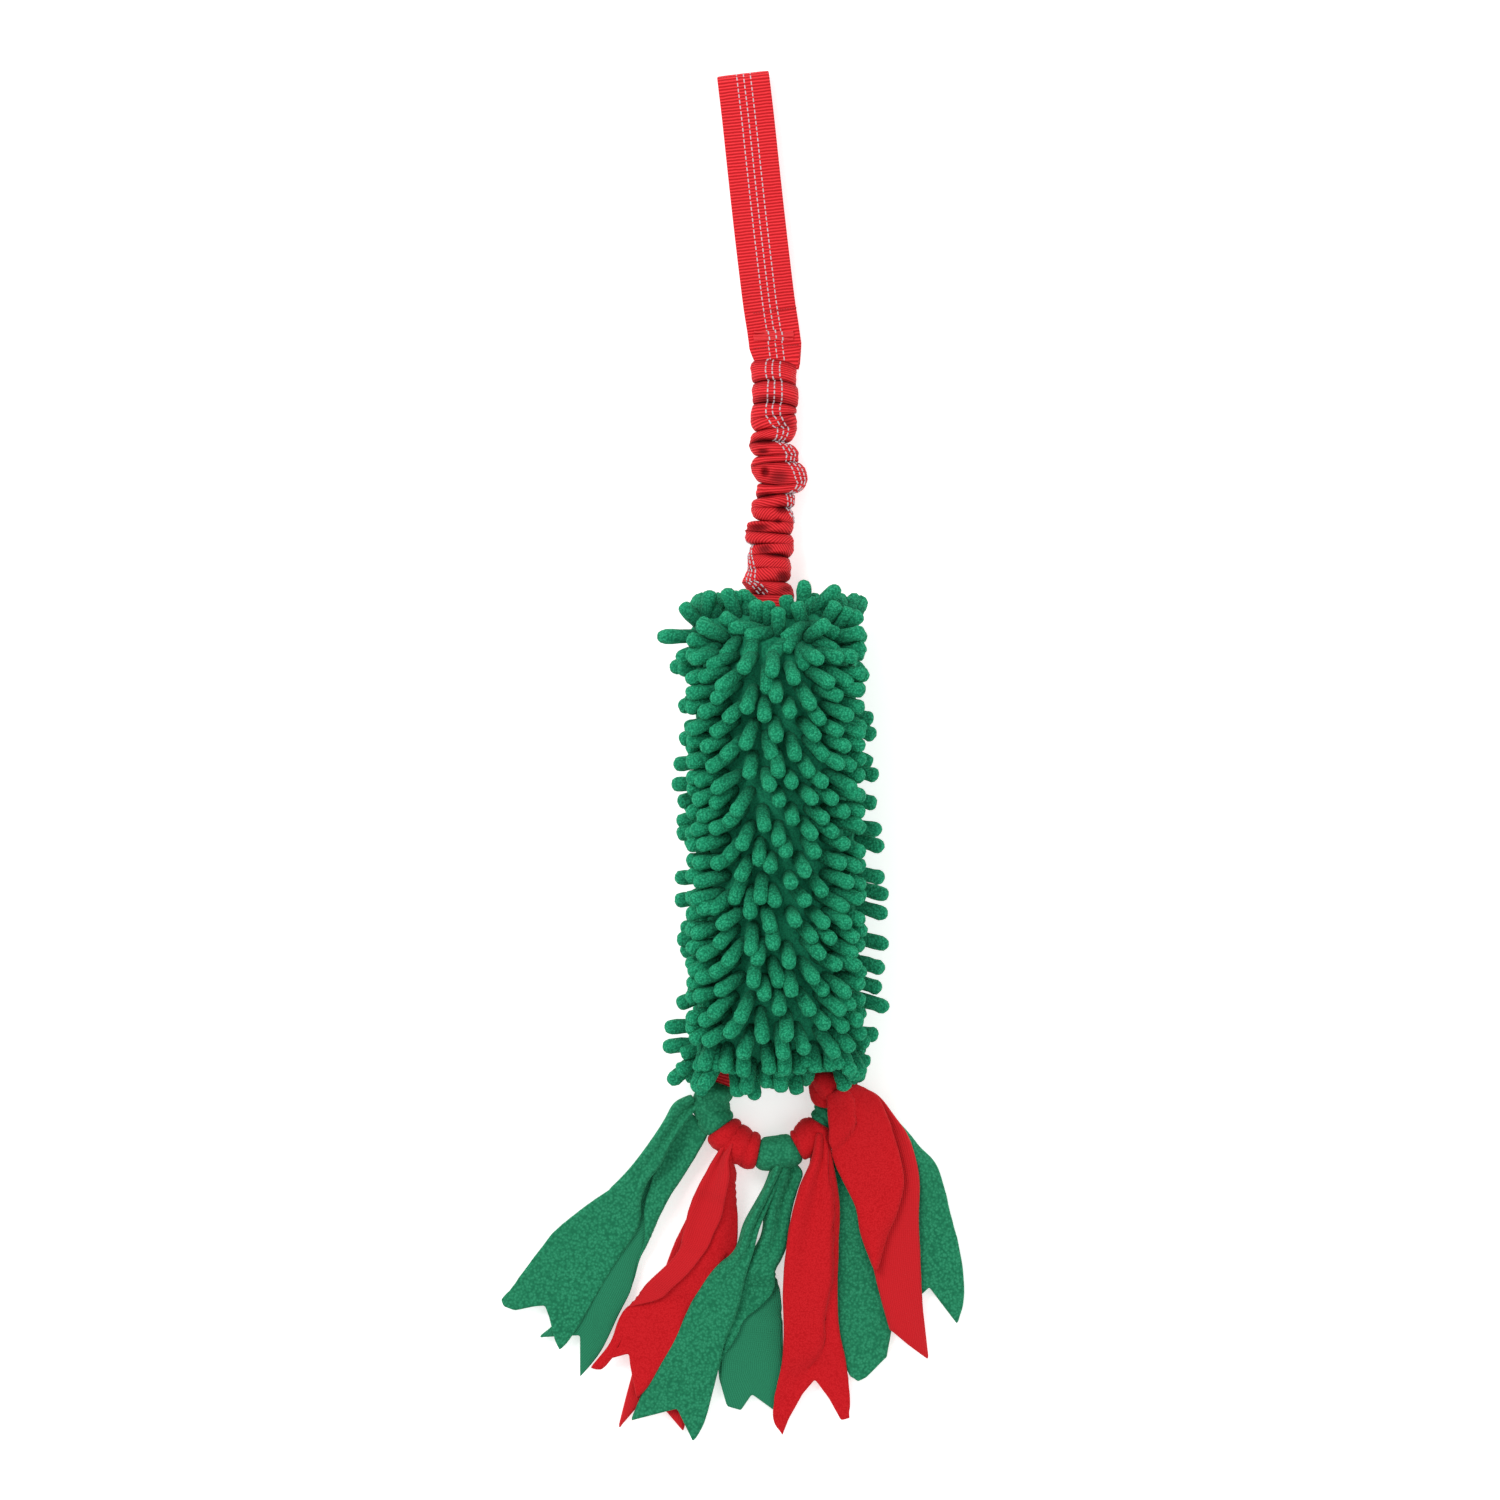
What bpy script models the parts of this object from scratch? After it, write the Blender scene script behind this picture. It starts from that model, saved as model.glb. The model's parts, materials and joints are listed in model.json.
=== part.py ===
# A bungee tug toy, lying on a flat surface as it comes out of its bag.
# +Y runs from the fleece tails to the hand loop, +X is to the right and +Z is up.
# The webbing and the noodle body lie along one line; the tails fan out below them.
import math
import random
from collections import namedtuple

import bpy
import bmesh
from mathutils import Vector

# Fits
GAP = 0.0003
OVERRUN = 0.001
FLAT_CUT = 0.0005

# Noodle body, a stuffed tube of chenille that is sewn flat at both ends
AXIS_X = 0.0217
TOP_HEM_Y = 0.0715
BODY_LENGTH = 0.225
BODY_HALF_WIDTH = 0.037
BODY_HALF_DEPTH = 0.025
BODY_HEIGHT = 0.034
HEM_HALF_WIDTH = 0.039
HEM_HALF_DEPTH = 0.0065
HEM_HEIGHT = 0.018
HEM_LENGTH = 0.005
HEM_BACK_SHARE = 0.6
COVER_THICKNESS = 0.002
COLUMNS = 24
SLICES = 8
ROWS_PER_SLICE = 4
CORE_COLUMNS = 12
CORE_END_ROWS = 2
END_FULLNESS_POWER = 6
BODY_ROUNDNESS = 0.9

# Noodles
NOODLE_LENGTH = 0.018
NOODLE_TIP_RADIUS = 0.0029
NOODLE_SEED = 12
NOODLE_JITTER_SHARE = 0.12
COMB_SHARES = (0.45, 0.0, -0.3, -0.45, -0.4, -0.3)
UNDERSIDE_COMB_SHARE = -0.6
MOUTH_REACH = 0.0015
MOUTH_CLEAR_HEIGHT = 0.024

# Webbing, one width all through
WEBBING_HALF_WIDTH = 0.0125
WEBBING_THICKNESS = 0.0015
WEBBING_ROUNDNESS = 0.3
WEBBING_SIDES = 12

# Gathered sleeve with the elastic inside it
SLEEVE_TUCK = 0.005
SLEEVE_END_Y = 0.190
SLEEVE_HEIGHT = 0.0090
SLEEVE_HALF_WIDTH = 0.0094
SLEEVE_HALF_DEPTH = 0.0064
SLEEVE_FOLD_SIDE = 0.0017
SLEEVE_FOLD_DEPTH = 0.0017
SLEEVE_SWAY = 0.0009
SLEEVE_FOLDS = 14
FOLDS_PER_SWAY = 4
FOLD_CREST_POWER = 0.7
RINGS_PER_FOLD = 4
SLEEVE_FLAT_SHARE = 0.1
SLEEVE_DROOP_SHARE = 0.4
ELASTIC_RADIUS = 0.0035
TACK_LENGTH = 0.008

# Hand loop
HANDLE_ANGLE = math.radians(6.4)
HANDLE_LENGTH = 0.139
HANDLE_SEAM_LENGTH = 0.016
HANDLE_OPEN = 0.007
HANDLE_RISE_SHARE = 0.35
HANDLE_STEPS = 9
HANDLE_ARC_STEPS = 6
BAR_TACK_LENGTH = 0.003
BAR_TACK_HALF_WIDTH = 0.010
BAR_TACK_THICKNESS = 0.0006

# Tail loop, webbing drawn together into a narrow band
LOOP_HALF_WIDTH = 0.0045
LOOP_LEG_LEFT = 0.0262
LOOP_LEG_RIGHT = 0.0258
LOOP_SPREAD = 0.0305
LOOP_DROP = 0.0335
LOOP_SET_BACK = 0.0095
LOOP_OFFSET = 0.0029
LOOP_LEG_OUT = 0.003
LOOP_TUCK = 0.004
LOOP_START_ANGLE = math.radians(15)
LOOP_POINTS = 24
LOOP_RINGS = 48
LOOP_EASE_SHARE = 0.25
LOOP_EASE_ROUNDS = 2
HEADING_STEP = 0.001
KNOT_HEIGHT = 0.0093
KNOT_LENGTH = 0.0235
KNOT_RADIUS = 0.0090
KNOT_SIDES = 10
KNOT_ROUNDNESS = 0.75
KNOT_RINGS = 7
KNOT_START = 0.0105
KNOT_SPACE = 0.0005
KNOT_CLEARANCE = 0.0005
KNOT_WAIST_SHARE = 0.84

# Fleece strips, all cut to one width
STRIP_WIDTH = 0.038
STRIP_LENGTH = 0.135
FLEECE_THICKNESS = 0.002
NOTCH_DEPTH = 0.0125
FOLD_AT_ROOT = 0.003
FOLD_AT_TIP = 0.0005
FOLD_SHARES = (0.0, 1.0, 0.25, 0.9, 0.0)
TAIL_CLEARANCE = 0.0004
OVER_ROOT_HEIGHT = 0.0062
OVER_TIP_HEIGHT = 0.0036
TOP_ROOT_HEIGHT = 0.0169
TOP_TIP_HEIGHT = 0.0075

# Heights of a strip's underside at its knot and at its tips
UNDER = (0.0, 0.0)
OVER = (OVER_ROOT_HEIGHT, OVER_TIP_HEIGHT)
TOP = (TOP_ROOT_HEIGHT, TOP_TIP_HEIGHT)

# Knots: shares of the longest knot's length and radius, wraps and colour
Knot = namedtuple("Knot", "length_share radius_share wraps colour")
KNOTS = (
    Knot(1.00, 1.00, 2.5, "green"),
    Knot(0.87, 1.00, 3.0, "red"),
    Knot(0.77, 0.93, 2.0, "green"),
    Knot(0.64, 0.93, 2.0, "red"),
    Knot(0.47, 0.71, 1.5, "green"),
    Knot(0.51, 0.89, 2.0, "red"),
)

# Tails: knot, share along it, side it leaves from and heading in degrees from straight down,
# how much nearer to or farther from the knot it sits as a share of the fleece's thickness,
# share of the strip's length, layer, and left and right edges as shares of the strip's width
Tail = namedtuple("Tail", "knot place exit_side heading seat_share length_share layer lefts rights")
TAILS = {
    "tail_1a": Tail(1, 0.50, -88, -35.5, 0.1, 1.000, OVER,
                    (0.05, 0.13, 0.18, 0.36, 0.46, 0.49), (-0.07, -0.12, -0.26, -0.40, -0.46, -0.48)),
    "tail_1b": Tail(1, 0.78, -64, -30.8, -0.3, 0.985, UNDER,
                    (0.10, 0.09, 0.10, 0.14, 0.22, 0.36), (-0.10, -0.16, -0.18, -0.30, -0.40, -0.38)),
    "tail_2a": Tail(2, 0.08, -42, -23.6, 0.1, 0.926, OVER,
                    (0.10, 0.08, -0.04, 0.10, 0.28, 0.32), (-0.05, -0.48, -0.54, -0.38, -0.34, -0.28)),
    "tail_2b": Tail(2, 0.30, -22, -14.0, 0.5, 1.022, UNDER,
                    (0.16, 0.26, 0.33, 0.37, 0.42, 0.42), (-0.16, -0.36, -0.42, -0.42, -0.42, -0.42)),
    "tail_3a": Tail(3, 0.45, 4, -24.4, -0.15, 1.030, OVER,
                    (0.08, 0.18, 0.26, 0.34, 0.40, 0.44), (-0.08, -0.08, -0.18, -0.26, -0.38, -0.42)),
    "tail_3b": Tail(3, 0.62, 24, -8.8, -0.6, 0.889, UNDER,
                    (0.10, 0.27, 0.38, 0.42, 0.50, 0.42), (-0.14, -0.05, -0.02, -0.16, -0.28, -0.38)),
    "tail_4a": Tail(4, 0.55, 48, -0.6, -0.35, 1.000, OVER,
                    (0.10, 0.33, 0.43, 0.48, 0.45, 0.44), (-0.08, -0.14, -0.16, -0.18, -0.33, -0.42)),
    "tail_4b": Tail(4, 0.45, 30, -2.0, -0.2, 0.874, UNDER,
                    (0.10, 0.08, 0.12, 0.14, 0.16, 0.16), (-0.08, -0.14, -0.20, -0.24, -0.26, -0.24)),
    "tail_5a": Tail(5, 0.45, 30, 10.1, 0.1, 0.881, UNDER,
                    (0.05, 0.10, 0.19, 0.30, 0.38, 0.32), (-0.06, -0.08, -0.20, -0.31, -0.36, -0.28)),
    "tail_5b": Tail(5, 0.55, 84, 27.7, -0.7, 0.800, UNDER,
                    (0.08, -0.10, -0.22, -0.18, -0.02, 0.12), (-0.12, -0.62, -0.78, -0.67, -0.57, -0.36)),
    "tail_6a": Tail(6, 0.50, 0, 14.5, 0.0, 0.667, TOP,
                    (0.15, 0.18, 0.20, 0.14, 0.08, 0.05), (-0.26, -0.50, -0.60, -0.56, -0.34, -0.07)),
    "tail_6b": Tail(6, 0.50, 74, 14.3, 0.2, 0.948, OVER,
                    (0.05, 0.02, 0.0, 0.04, 0.09, 0.17), (-0.08, -0.52, -0.60, -0.46, -0.34, -0.24)),
}

# The screen colour of each cloth, and how rough it is
FINISHES = {
    "red_webbing": ((226, 57, 62), 0.62),
    "elastic": ((38, 38, 40), 0.55),
    "green_chenille": ((21, 113, 78), 0.95),
    "stuffing": ((232, 230, 222), 0.98),
    "thread": ((205, 52, 58), 0.6),
    "green": ((40, 125, 89), 0.95),
    "red": ((193, 24, 31), 0.95),
}

# Derived places
RIGHT = Vector((1, 0, 0))
UP = Vector((0, 0, 1))
BOTTOM_HEM_Y = TOP_HEM_Y - BODY_LENGTH
ROWS = SLICES * ROWS_PER_SLICE
FLAT_HALF_THICKNESS = WEBBING_THICKNESS
SLEEVE_START_Y = TOP_HEM_Y - SLEEVE_TUCK
HANDLE_Y = SLEEVE_END_Y + GAP + TACK_LENGTH + GAP
LOOP_X = AXIS_X - LOOP_OFFSET
LOOP_Y = BOTTOM_HEM_Y - LOOP_SET_BACK


def mix(low, high, share):
    return low + (high - low) * share


def smooth(share):
    """An S curve from 0 to 1, flat at both ends."""
    share = min(1, max(0, share))
    return share * share * (3 - 2 * share)


def read_shares(shares, place):
    """Read an evenly spaced table of shares at a place from 0 to 1."""
    spot = min(1, max(0, place)) * (len(shares) - 1)
    index = min(int(spot), len(shares) - 2)
    return mix(shares[index], shares[index + 1], spot - index)


def linear_colour(colour):
    """Turn a screen colour of 0 to 255 into the linear one that a shader takes."""
    shares = [channel / 255 for channel in colour]
    return [s / 12.92 if s <= 0.04045 else ((s + 0.055) / 1.055) ** 2.4 for s in shares] + [1]


def clear_scene():
    for old in list(bpy.data.objects):
        bpy.data.objects.remove(old)


def finish_material(name):
    found = bpy.data.materials.get(name)
    if found:
        return found
    colour, roughness = FINISHES[name]
    made = bpy.data.materials.new(name)
    made.use_nodes = True
    shader = made.node_tree.nodes["Principled BSDF"]
    shader.inputs["Base Color"].default_value = linear_colour(colour)
    shader.inputs["Roughness"].default_value = roughness
    shader.inputs["Metallic"].default_value = 0
    return made


def add_piece(name, bm, finish, origin=Vector((0, 0, 0))):
    """Make one named object whose own origin is at a joint's axis."""
    bmesh.ops.recalc_face_normals(bm, faces=bm.faces)
    if bm.calc_volume(signed=True) < 0:
        bmesh.ops.reverse_faces(bm, faces=bm.faces)
    for vert in bm.verts:
        vert.co -= origin
    mesh = bpy.data.meshes.new(name)
    bm.to_mesh(mesh)
    bm.free()
    mesh.materials.append(finish_material(finish))
    piece = bpy.data.objects.new(name, mesh)
    piece.location = origin
    bpy.context.collection.objects.link(piece)
    return piece


def signed_power(value, power):
    return math.copysign(abs(value) ** power, value)


def ring(centre, side, up, half_width, half_height, sides, roundness=1.0):
    """An oval ring of points; a low roundness draws it towards a rectangle."""
    points = []
    for index in range(sides):
        turn = math.tau * index / sides
        across = half_width * signed_power(math.cos(turn), roundness)
        rise = half_height * signed_power(math.sin(turn), roundness)
        points.append(centre + side * across + up * rise)
    return points


def add_ring(bm, points):
    return [bm.verts.new(point) for point in points]


def skin(bm, first, second):
    """Quads between two rings of the same count."""
    count = len(first)
    for index in range(count):
        after = (index + 1) % count
        bm.faces.new((first[index], first[after], second[after], second[index]))


def loft(bm, rings):
    """A solid through a row of rings, closed by a face at each end."""
    made = [add_ring(bm, points) for points in rings]
    for first, second in zip(made, made[1:]):
        skin(bm, first, second)
    bm.faces.new(made[0])
    bm.faces.new(made[-1])


def tube(bm, outer, inner):
    """A walled tube through outer and inner rings, open at both ends."""
    outside = [add_ring(bm, points) for points in outer]
    inside = [add_ring(bm, points) for points in inner]
    for wall in (outside, inside):
        for first, second in zip(wall, wall[1:]):
            skin(bm, first, second)
    skin(bm, outside[0], inside[0])
    skin(bm, outside[-1], inside[-1])


# The noodle body

def fullness(share):
    """How far the stuffing fills the tube, 0 at a sewn end and 1 along the middle."""
    from_middle = abs(2 * share - 1)
    return math.sqrt(max(0, 1 - from_middle ** END_FULLNESS_POWER))


def body_centre(share):
    height = mix(HEM_HEIGHT, BODY_HEIGHT, fullness(share))
    return Vector((AXIS_X, TOP_HEM_Y - share * BODY_LENGTH, height))


def body_ring(share, inset, sides):
    """The tube's outline at a share of its length, drawn in by an inset."""
    full = fullness(share)
    half_width = mix(HEM_HALF_WIDTH, BODY_HALF_WIDTH, full) - inset
    half_depth = mix(HEM_HALF_DEPTH, BODY_HALF_DEPTH, full) - inset
    return ring(body_centre(share), RIGHT, UP, half_width, half_depth, sides, BODY_ROUNDNESS)


def noodle_tip(base, normal, share, chance):
    """Where a noodle ends: combed along the body, and laid over where it meets the floor."""
    comb = mix(read_shares(COMB_SHARES, share), UNDERSIDE_COMB_SHARE, max(0, -normal.z))
    lean = Vector([chance.uniform(-NOODLE_JITTER_SHARE, NOODLE_JITTER_SHARE) for _ in range(3)])
    lean.y += comb
    way = (normal + lean).normalized()
    lowest = NOODLE_TIP_RADIUS - FLAT_CUT
    if base.z + way.z * NOODLE_LENGTH < lowest:
        fall = (base.z - lowest) / NOODLE_LENGTH
        flat = Vector((way.x, way.y, 0)).normalized()
        way = flat * math.sqrt(1 - fall * fall) - UP * fall
    reach = NOODLE_LENGTH
    if base.z + way.z * reach < MOUTH_CLEAR_HEIGHT and way.y:
        edge = TOP_HEM_Y + MOUTH_REACH if way.y > 0 else BOTTOM_HEM_Y - MOUTH_REACH
        reach = min(reach, abs((edge - base.y) / way.y))
    return base + way * reach, way


def grow_noodle(bm, corners, share, chance):
    """Raise a four-sided noodle from one square of the cover."""
    base = sum((corner.co for corner in corners), Vector()) / len(corners)
    normal = (corners[3].co - corners[1].co).cross(corners[2].co - corners[0].co).normalized()
    tip, way = noodle_tip(base, normal, share, chance)
    ends = []
    for corner in corners:
        out = corner.co - base
        out -= way * out.dot(way)
        ends.append(bm.verts.new(tip + out.normalized() * NOODLE_TIP_RADIUS))
    skin(bm, corners, ends)
    bm.faces.new(ends)


def cut_at_floor(bm):
    """Cut flat what would reach below the surface that the toy lies on."""
    geometry = bm.verts[:] + bm.edges[:] + bm.faces[:]
    bmesh.ops.bisect_plane(bm, geom=geometry, plane_co=(0, 0, 0), plane_no=UP, clear_inner=True)
    open_edges = [edge for edge in bm.edges if edge.is_boundary]
    if open_edges:
        bmesh.ops.holes_fill(bm, edges=open_edges, sides=0)


def cover_slice(index, chance):
    """One slice of the chenille tube, with every second square grown into a noodle."""
    bm = bmesh.new()
    first_row = index * ROWS_PER_SLICE
    shares = [(first_row + row) / ROWS for row in range(ROWS_PER_SLICE + 1)]
    trim = GAP / 2 / BODY_LENGTH
    if index > 0:
        shares[0] += trim
    if index < SLICES - 1:
        shares[-1] -= trim
    outside = [add_ring(bm, body_ring(share, 0, COLUMNS)) for share in shares]
    inside = [add_ring(bm, body_ring(share, COVER_THICKNESS, COLUMNS)) for share in shares[::2]]
    for upper, lower in zip(inside, inside[1:]):
        skin(bm, upper, lower)
    skin(bm, outside[0], inside[0])
    skin(bm, outside[-1], inside[-1])
    for row in range(ROWS_PER_SLICE):
        for column in range(COLUMNS):
            after = (column + 1) % COLUMNS
            corners = (outside[row][column], outside[row + 1][column],
                       outside[row + 1][after], outside[row][after])
            if (first_row + row + column) % 2:
                bm.faces.new(corners)
            else:
                grow_noodle(bm, corners, mix(shares[row], shares[row + 1], 0.5), chance)
    cut_at_floor(bm)
    add_piece(f"noodle_cover_{index + 1}", bm, "green_chenille")


def core_shares():
    """Stations along the stuffing, which stops short of both sewn ends."""
    inner = [slice_index * ROWS_PER_SLICE for slice_index in range(1, SLICES)]
    return [row / ROWS for row in [CORE_END_ROWS] + inner + [ROWS - CORE_END_ROWS]]


def flat_ring(centre, half_thickness, half_width=WEBBING_HALF_WIDTH, side=RIGHT):
    return ring(centre, side, UP, half_width, half_thickness, WEBBING_SIDES, WEBBING_ROUNDNESS)


def spine_place(share):
    """The spine runs straight from hem to hem, low in the stuffing."""
    return Vector((AXIS_X, TOP_HEM_Y - share * BODY_LENGTH, HEM_HEIGHT))


def stuffing_core():
    bm = bmesh.new()
    outer = [body_ring(share, COVER_THICKNESS + GAP, CORE_COLUMNS) for share in core_shares()]
    slot = WEBBING_THICKNESS / 2 + GAP
    inner = [flat_ring(spine_place(share), slot, WEBBING_HALF_WIDTH + GAP) for share in core_shares()]
    tube(bm, outer, inner)
    add_piece("stuffing_core", bm, "stuffing")


def spine_strap():
    """Webbing through the stuffing, which carries the pull from end to end."""
    bm = bmesh.new()
    start = (SLEEVE_TUCK + GAP + TACK_LENGTH + GAP) / BODY_LENGTH
    end = 1 - (HEM_LENGTH + GAP) / BODY_LENGTH
    loft(bm, [flat_ring(spine_place(share), WEBBING_THICKNESS / 2) for share in (start, end)])
    add_piece("spine_strap", bm, "red_webbing")


def slot_cutter(name, centre_x, half_width, sides, y_from, y_to):
    bm = bmesh.new()
    ends = [Vector((centre_x, y, HEM_HEIGHT)) for y in (y_from + OVERRUN, y_to - OVERRUN)]
    loft(bm, [ring(end, RIGHT, UP, half_width + GAP, FLAT_HALF_THICKNESS + GAP, sides,
                   WEBBING_ROUNDNESS) for end in ends])
    cutter = add_piece(name, bm, "green")
    cutter.hide_render = True
    cutter.display_type = "WIRE"
    return cutter


def hem(name, mouth_y, inwards, half_width, sides, slot_places):
    """The turned-in end of the cover, a flat oval plug that the webbing passes through."""
    bm = bmesh.new()
    inset = COVER_THICKNESS + GAP
    back_y = mouth_y + inwards * HEM_LENGTH
    ends = []
    for y, share in ((mouth_y, 1), (back_y, HEM_BACK_SHARE)):
        ends.append(ring(Vector((AXIS_X, y, HEM_HEIGHT)), RIGHT, UP,
                         (HEM_HALF_WIDTH - inset) * share, (HEM_HALF_DEPTH - inset) * share,
                         COLUMNS, BODY_ROUNDNESS))
    loft(bm, ends)
    piece = add_piece(name, bm, "green")
    for number, centre_x in enumerate(slot_places):
        cutter = slot_cutter(f"{name}_slot_{number}", centre_x, half_width, sides,
                             max(mouth_y, back_y), min(mouth_y, back_y))
        cut = piece.modifiers.new(f"slot_{number}", "BOOLEAN")
        cut.operation = "DIFFERENCE"
        cut.solver = "EXACT"
        cut.object = cutter


def top_hem():
    hem("top_hem", TOP_HEM_Y, -1, WEBBING_HALF_WIDTH, WEBBING_SIDES, (AXIS_X,))


def bottom_hem():
    hem("bottom_hem", BOTTOM_HEM_Y, 1, LOOP_HALF_WIDTH, KNOT_SIDES,
        (AXIS_X - LOOP_LEG_LEFT, AXIS_X + LOOP_LEG_RIGHT))


# The bungee

def sleeve_centre(share):
    """The sleeve hangs from the hem down to the surface, then lies along it."""
    y = mix(SLEEVE_START_Y, SLEEVE_END_Y, share)
    rest = mix(FLAT_HALF_THICKNESS, SLEEVE_HEIGHT, smooth((1 - share) / SLEEVE_FLAT_SHARE))
    height = mix(HEM_HEIGHT, rest, smooth((share - SLEEVE_FLAT_SHARE / 2) / SLEEVE_DROOP_SHARE))
    return Vector((AXIS_X, y, height))


def sleeve_swell(share):
    """How round the sleeve is: 0 where it is stitched flat, 1 along the bungee."""
    tuck = SLEEVE_TUCK / (SLEEVE_END_Y - SLEEVE_START_Y)
    opening = smooth((share - tuck) / SLEEVE_FLAT_SHARE)
    closing = smooth((1 - share) / SLEEVE_FLAT_SHARE)
    return min(opening, closing)


def sleeve_ring(share):
    swell = sleeve_swell(share)
    crest = abs(math.sin(math.pi * SLEEVE_FOLDS * share)) ** FOLD_CREST_POWER * swell
    sway = SLEEVE_SWAY * math.sin(math.tau * share * SLEEVE_FOLDS / FOLDS_PER_SWAY) * swell
    half_width = mix(WEBBING_HALF_WIDTH, SLEEVE_HALF_WIDTH, swell) + SLEEVE_FOLD_SIDE * crest
    half_depth = mix(FLAT_HALF_THICKNESS, SLEEVE_HALF_DEPTH, swell) + SLEEVE_FOLD_DEPTH * crest
    roundness = mix(WEBBING_ROUNDNESS, 1, swell)
    centre = sleeve_centre(share) + RIGHT * sway
    return ring(centre, RIGHT, UP, half_width, half_depth, WEBBING_SIDES, roundness)


def bore_ring(share):
    """The room for the elastic, pressed to a slit where the sleeve is stitched flat."""
    swell = sleeve_swell(share)
    room = ELASTIC_RADIUS + GAP
    half_width = mix(WEBBING_HALF_WIDTH - WEBBING_THICKNESS, room, swell)
    half_depth = mix(GAP, room, swell)
    roundness = mix(WEBBING_ROUNDNESS, 1, swell)
    return ring(sleeve_centre(share), RIGHT, UP, half_width, half_depth, WEBBING_SIDES, roundness)


def bungee_sleeve(origin):
    bm = bmesh.new()
    steps = SLEEVE_FOLDS * RINGS_PER_FOLD
    shares = [step / steps for step in range(steps + 1)]
    tube(bm, [sleeve_ring(share) for share in shares], [bore_ring(share) for share in shares[::2]])
    add_piece("bungee_sleeve", bm, "red_webbing", origin)


def bungee_elastic(origin):
    bm = bmesh.new()
    steps = SLEEVE_FOLDS * RINGS_PER_FOLD
    tuck = SLEEVE_TUCK / (SLEEVE_END_Y - SLEEVE_START_Y)
    low = math.ceil(steps * (tuck + SLEEVE_FLAT_SHARE) / 2) * 2
    high = math.floor(steps * (1 - SLEEVE_FLAT_SHARE) / 2) * 2
    rings = []
    for step in range(low, high + 1, 2):
        centre = sleeve_centre(step / steps)
        rings.append(ring(centre, RIGHT, UP, ELASTIC_RADIUS, ELASTIC_RADIUS, WEBBING_SIDES))
    loft(bm, rings)
    add_piece("bungee_elastic", bm, "elastic", origin)


def tack(name, y_from, y_to, height, origin):
    """Webbing stitched flat through both layers."""
    bm = bmesh.new()
    ends = [Vector((AXIS_X, y, height)) for y in (y_from, y_to)]
    loft(bm, [flat_ring(end, FLAT_HALF_THICKNESS) for end in ends])
    add_piece(name, bm, "red_webbing", origin)


# The hand loop

def handle_place(along, across, height):
    """A point of the hand loop, which lies turned a little to the left."""
    way = Vector((-math.sin(HANDLE_ANGLE), math.cos(HANDLE_ANGLE), 0))
    side = Vector((math.cos(HANDLE_ANGLE), math.sin(HANDLE_ANGLE), 0))
    start = Vector((AXIS_X, HANDLE_Y + WEBBING_HALF_WIDTH * math.sin(HANDLE_ANGLE), 0))
    return start + way * along + side * across + UP * height


def handle_gap(along):
    """How far the two layers stand apart: nothing in the seam, then a finger's room."""
    share = (along - HANDLE_SEAM_LENGTH) / (HANDLE_LENGTH - HANDLE_SEAM_LENGTH)
    return HANDLE_OPEN * smooth(share / HANDLE_RISE_SHARE)


def handle_outlines():
    """The loop seen from its edge: an outer and an inner line of matching points."""
    outer_radius = HANDLE_OPEN / 2 + WEBBING_THICKNESS
    straight = HANDLE_LENGTH - outer_radius
    outer = []
    inner = []
    lower = [step / HANDLE_STEPS for step in range(HANDLE_STEPS + 1)]
    for share in lower:
        outer.append((straight * share, 0))
        inner.append((mix(HANDLE_SEAM_LENGTH, straight, share), WEBBING_THICKNESS))
    for step in range(1, HANDLE_ARC_STEPS):
        turn = math.pi * step / HANDLE_ARC_STEPS - math.pi / 2
        for line, radius in ((outer, outer_radius), (inner, HANDLE_OPEN / 2)):
            line.append((straight + radius * math.cos(turn), outer_radius + radius * math.sin(turn)))
    for share in reversed(lower):
        along = mix(HANDLE_SEAM_LENGTH, straight, share)
        outer.append((straight * share, 2 * WEBBING_THICKNESS + handle_gap(straight * share)))
        inner.append((along, WEBBING_THICKNESS + max(GAP, handle_gap(along))))
    return outer, inner


def handle_strap(origin):
    bm = bmesh.new()
    outer, inner = handle_outlines()
    edges = []
    for side in (-WEBBING_HALF_WIDTH, WEBBING_HALF_WIDTH):
        edges.append([add_ring(bm, [handle_place(along, side, height) for along, height in line])
                      for line in (outer, inner)])
    for line in range(2):
        skin(bm, edges[0][line], edges[1][line])
    for edge in edges:
        skin(bm, edge[0], edge[1])
    add_piece("handle_strap", bm, "red_webbing", origin)


def handle_bar_tack(origin):
    """A close row of thread that holds the loop's two layers together."""
    bm = bmesh.new()
    middle = HANDLE_SEAM_LENGTH / 2
    floor = 2 * WEBBING_THICKNESS + GAP
    corners = []
    for height in (floor, floor + BAR_TACK_THICKNESS):
        corners.append([handle_place(middle + along, across, height)
                        for along, across in (
                            (-BAR_TACK_LENGTH / 2, -BAR_TACK_HALF_WIDTH),
                            (-BAR_TACK_LENGTH / 2, BAR_TACK_HALF_WIDTH),
                            (BAR_TACK_LENGTH / 2, BAR_TACK_HALF_WIDTH),
                            (BAR_TACK_LENGTH / 2, -BAR_TACK_HALF_WIDTH))])
    loft(bm, corners)
    add_piece("handle_bar_tack", bm, "thread", origin)


# The tail loop and its knots

def ease(points):
    """Cut the corners of a line of points, keeping its ends."""
    eased = [points[0]]
    for start, end in zip(points, points[1:]):
        eased.append(start.lerp(end, LOOP_EASE_SHARE))
        eased.append(start.lerp(end, 1 - LOOP_EASE_SHARE))
    return eased + [points[-1]]


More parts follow.
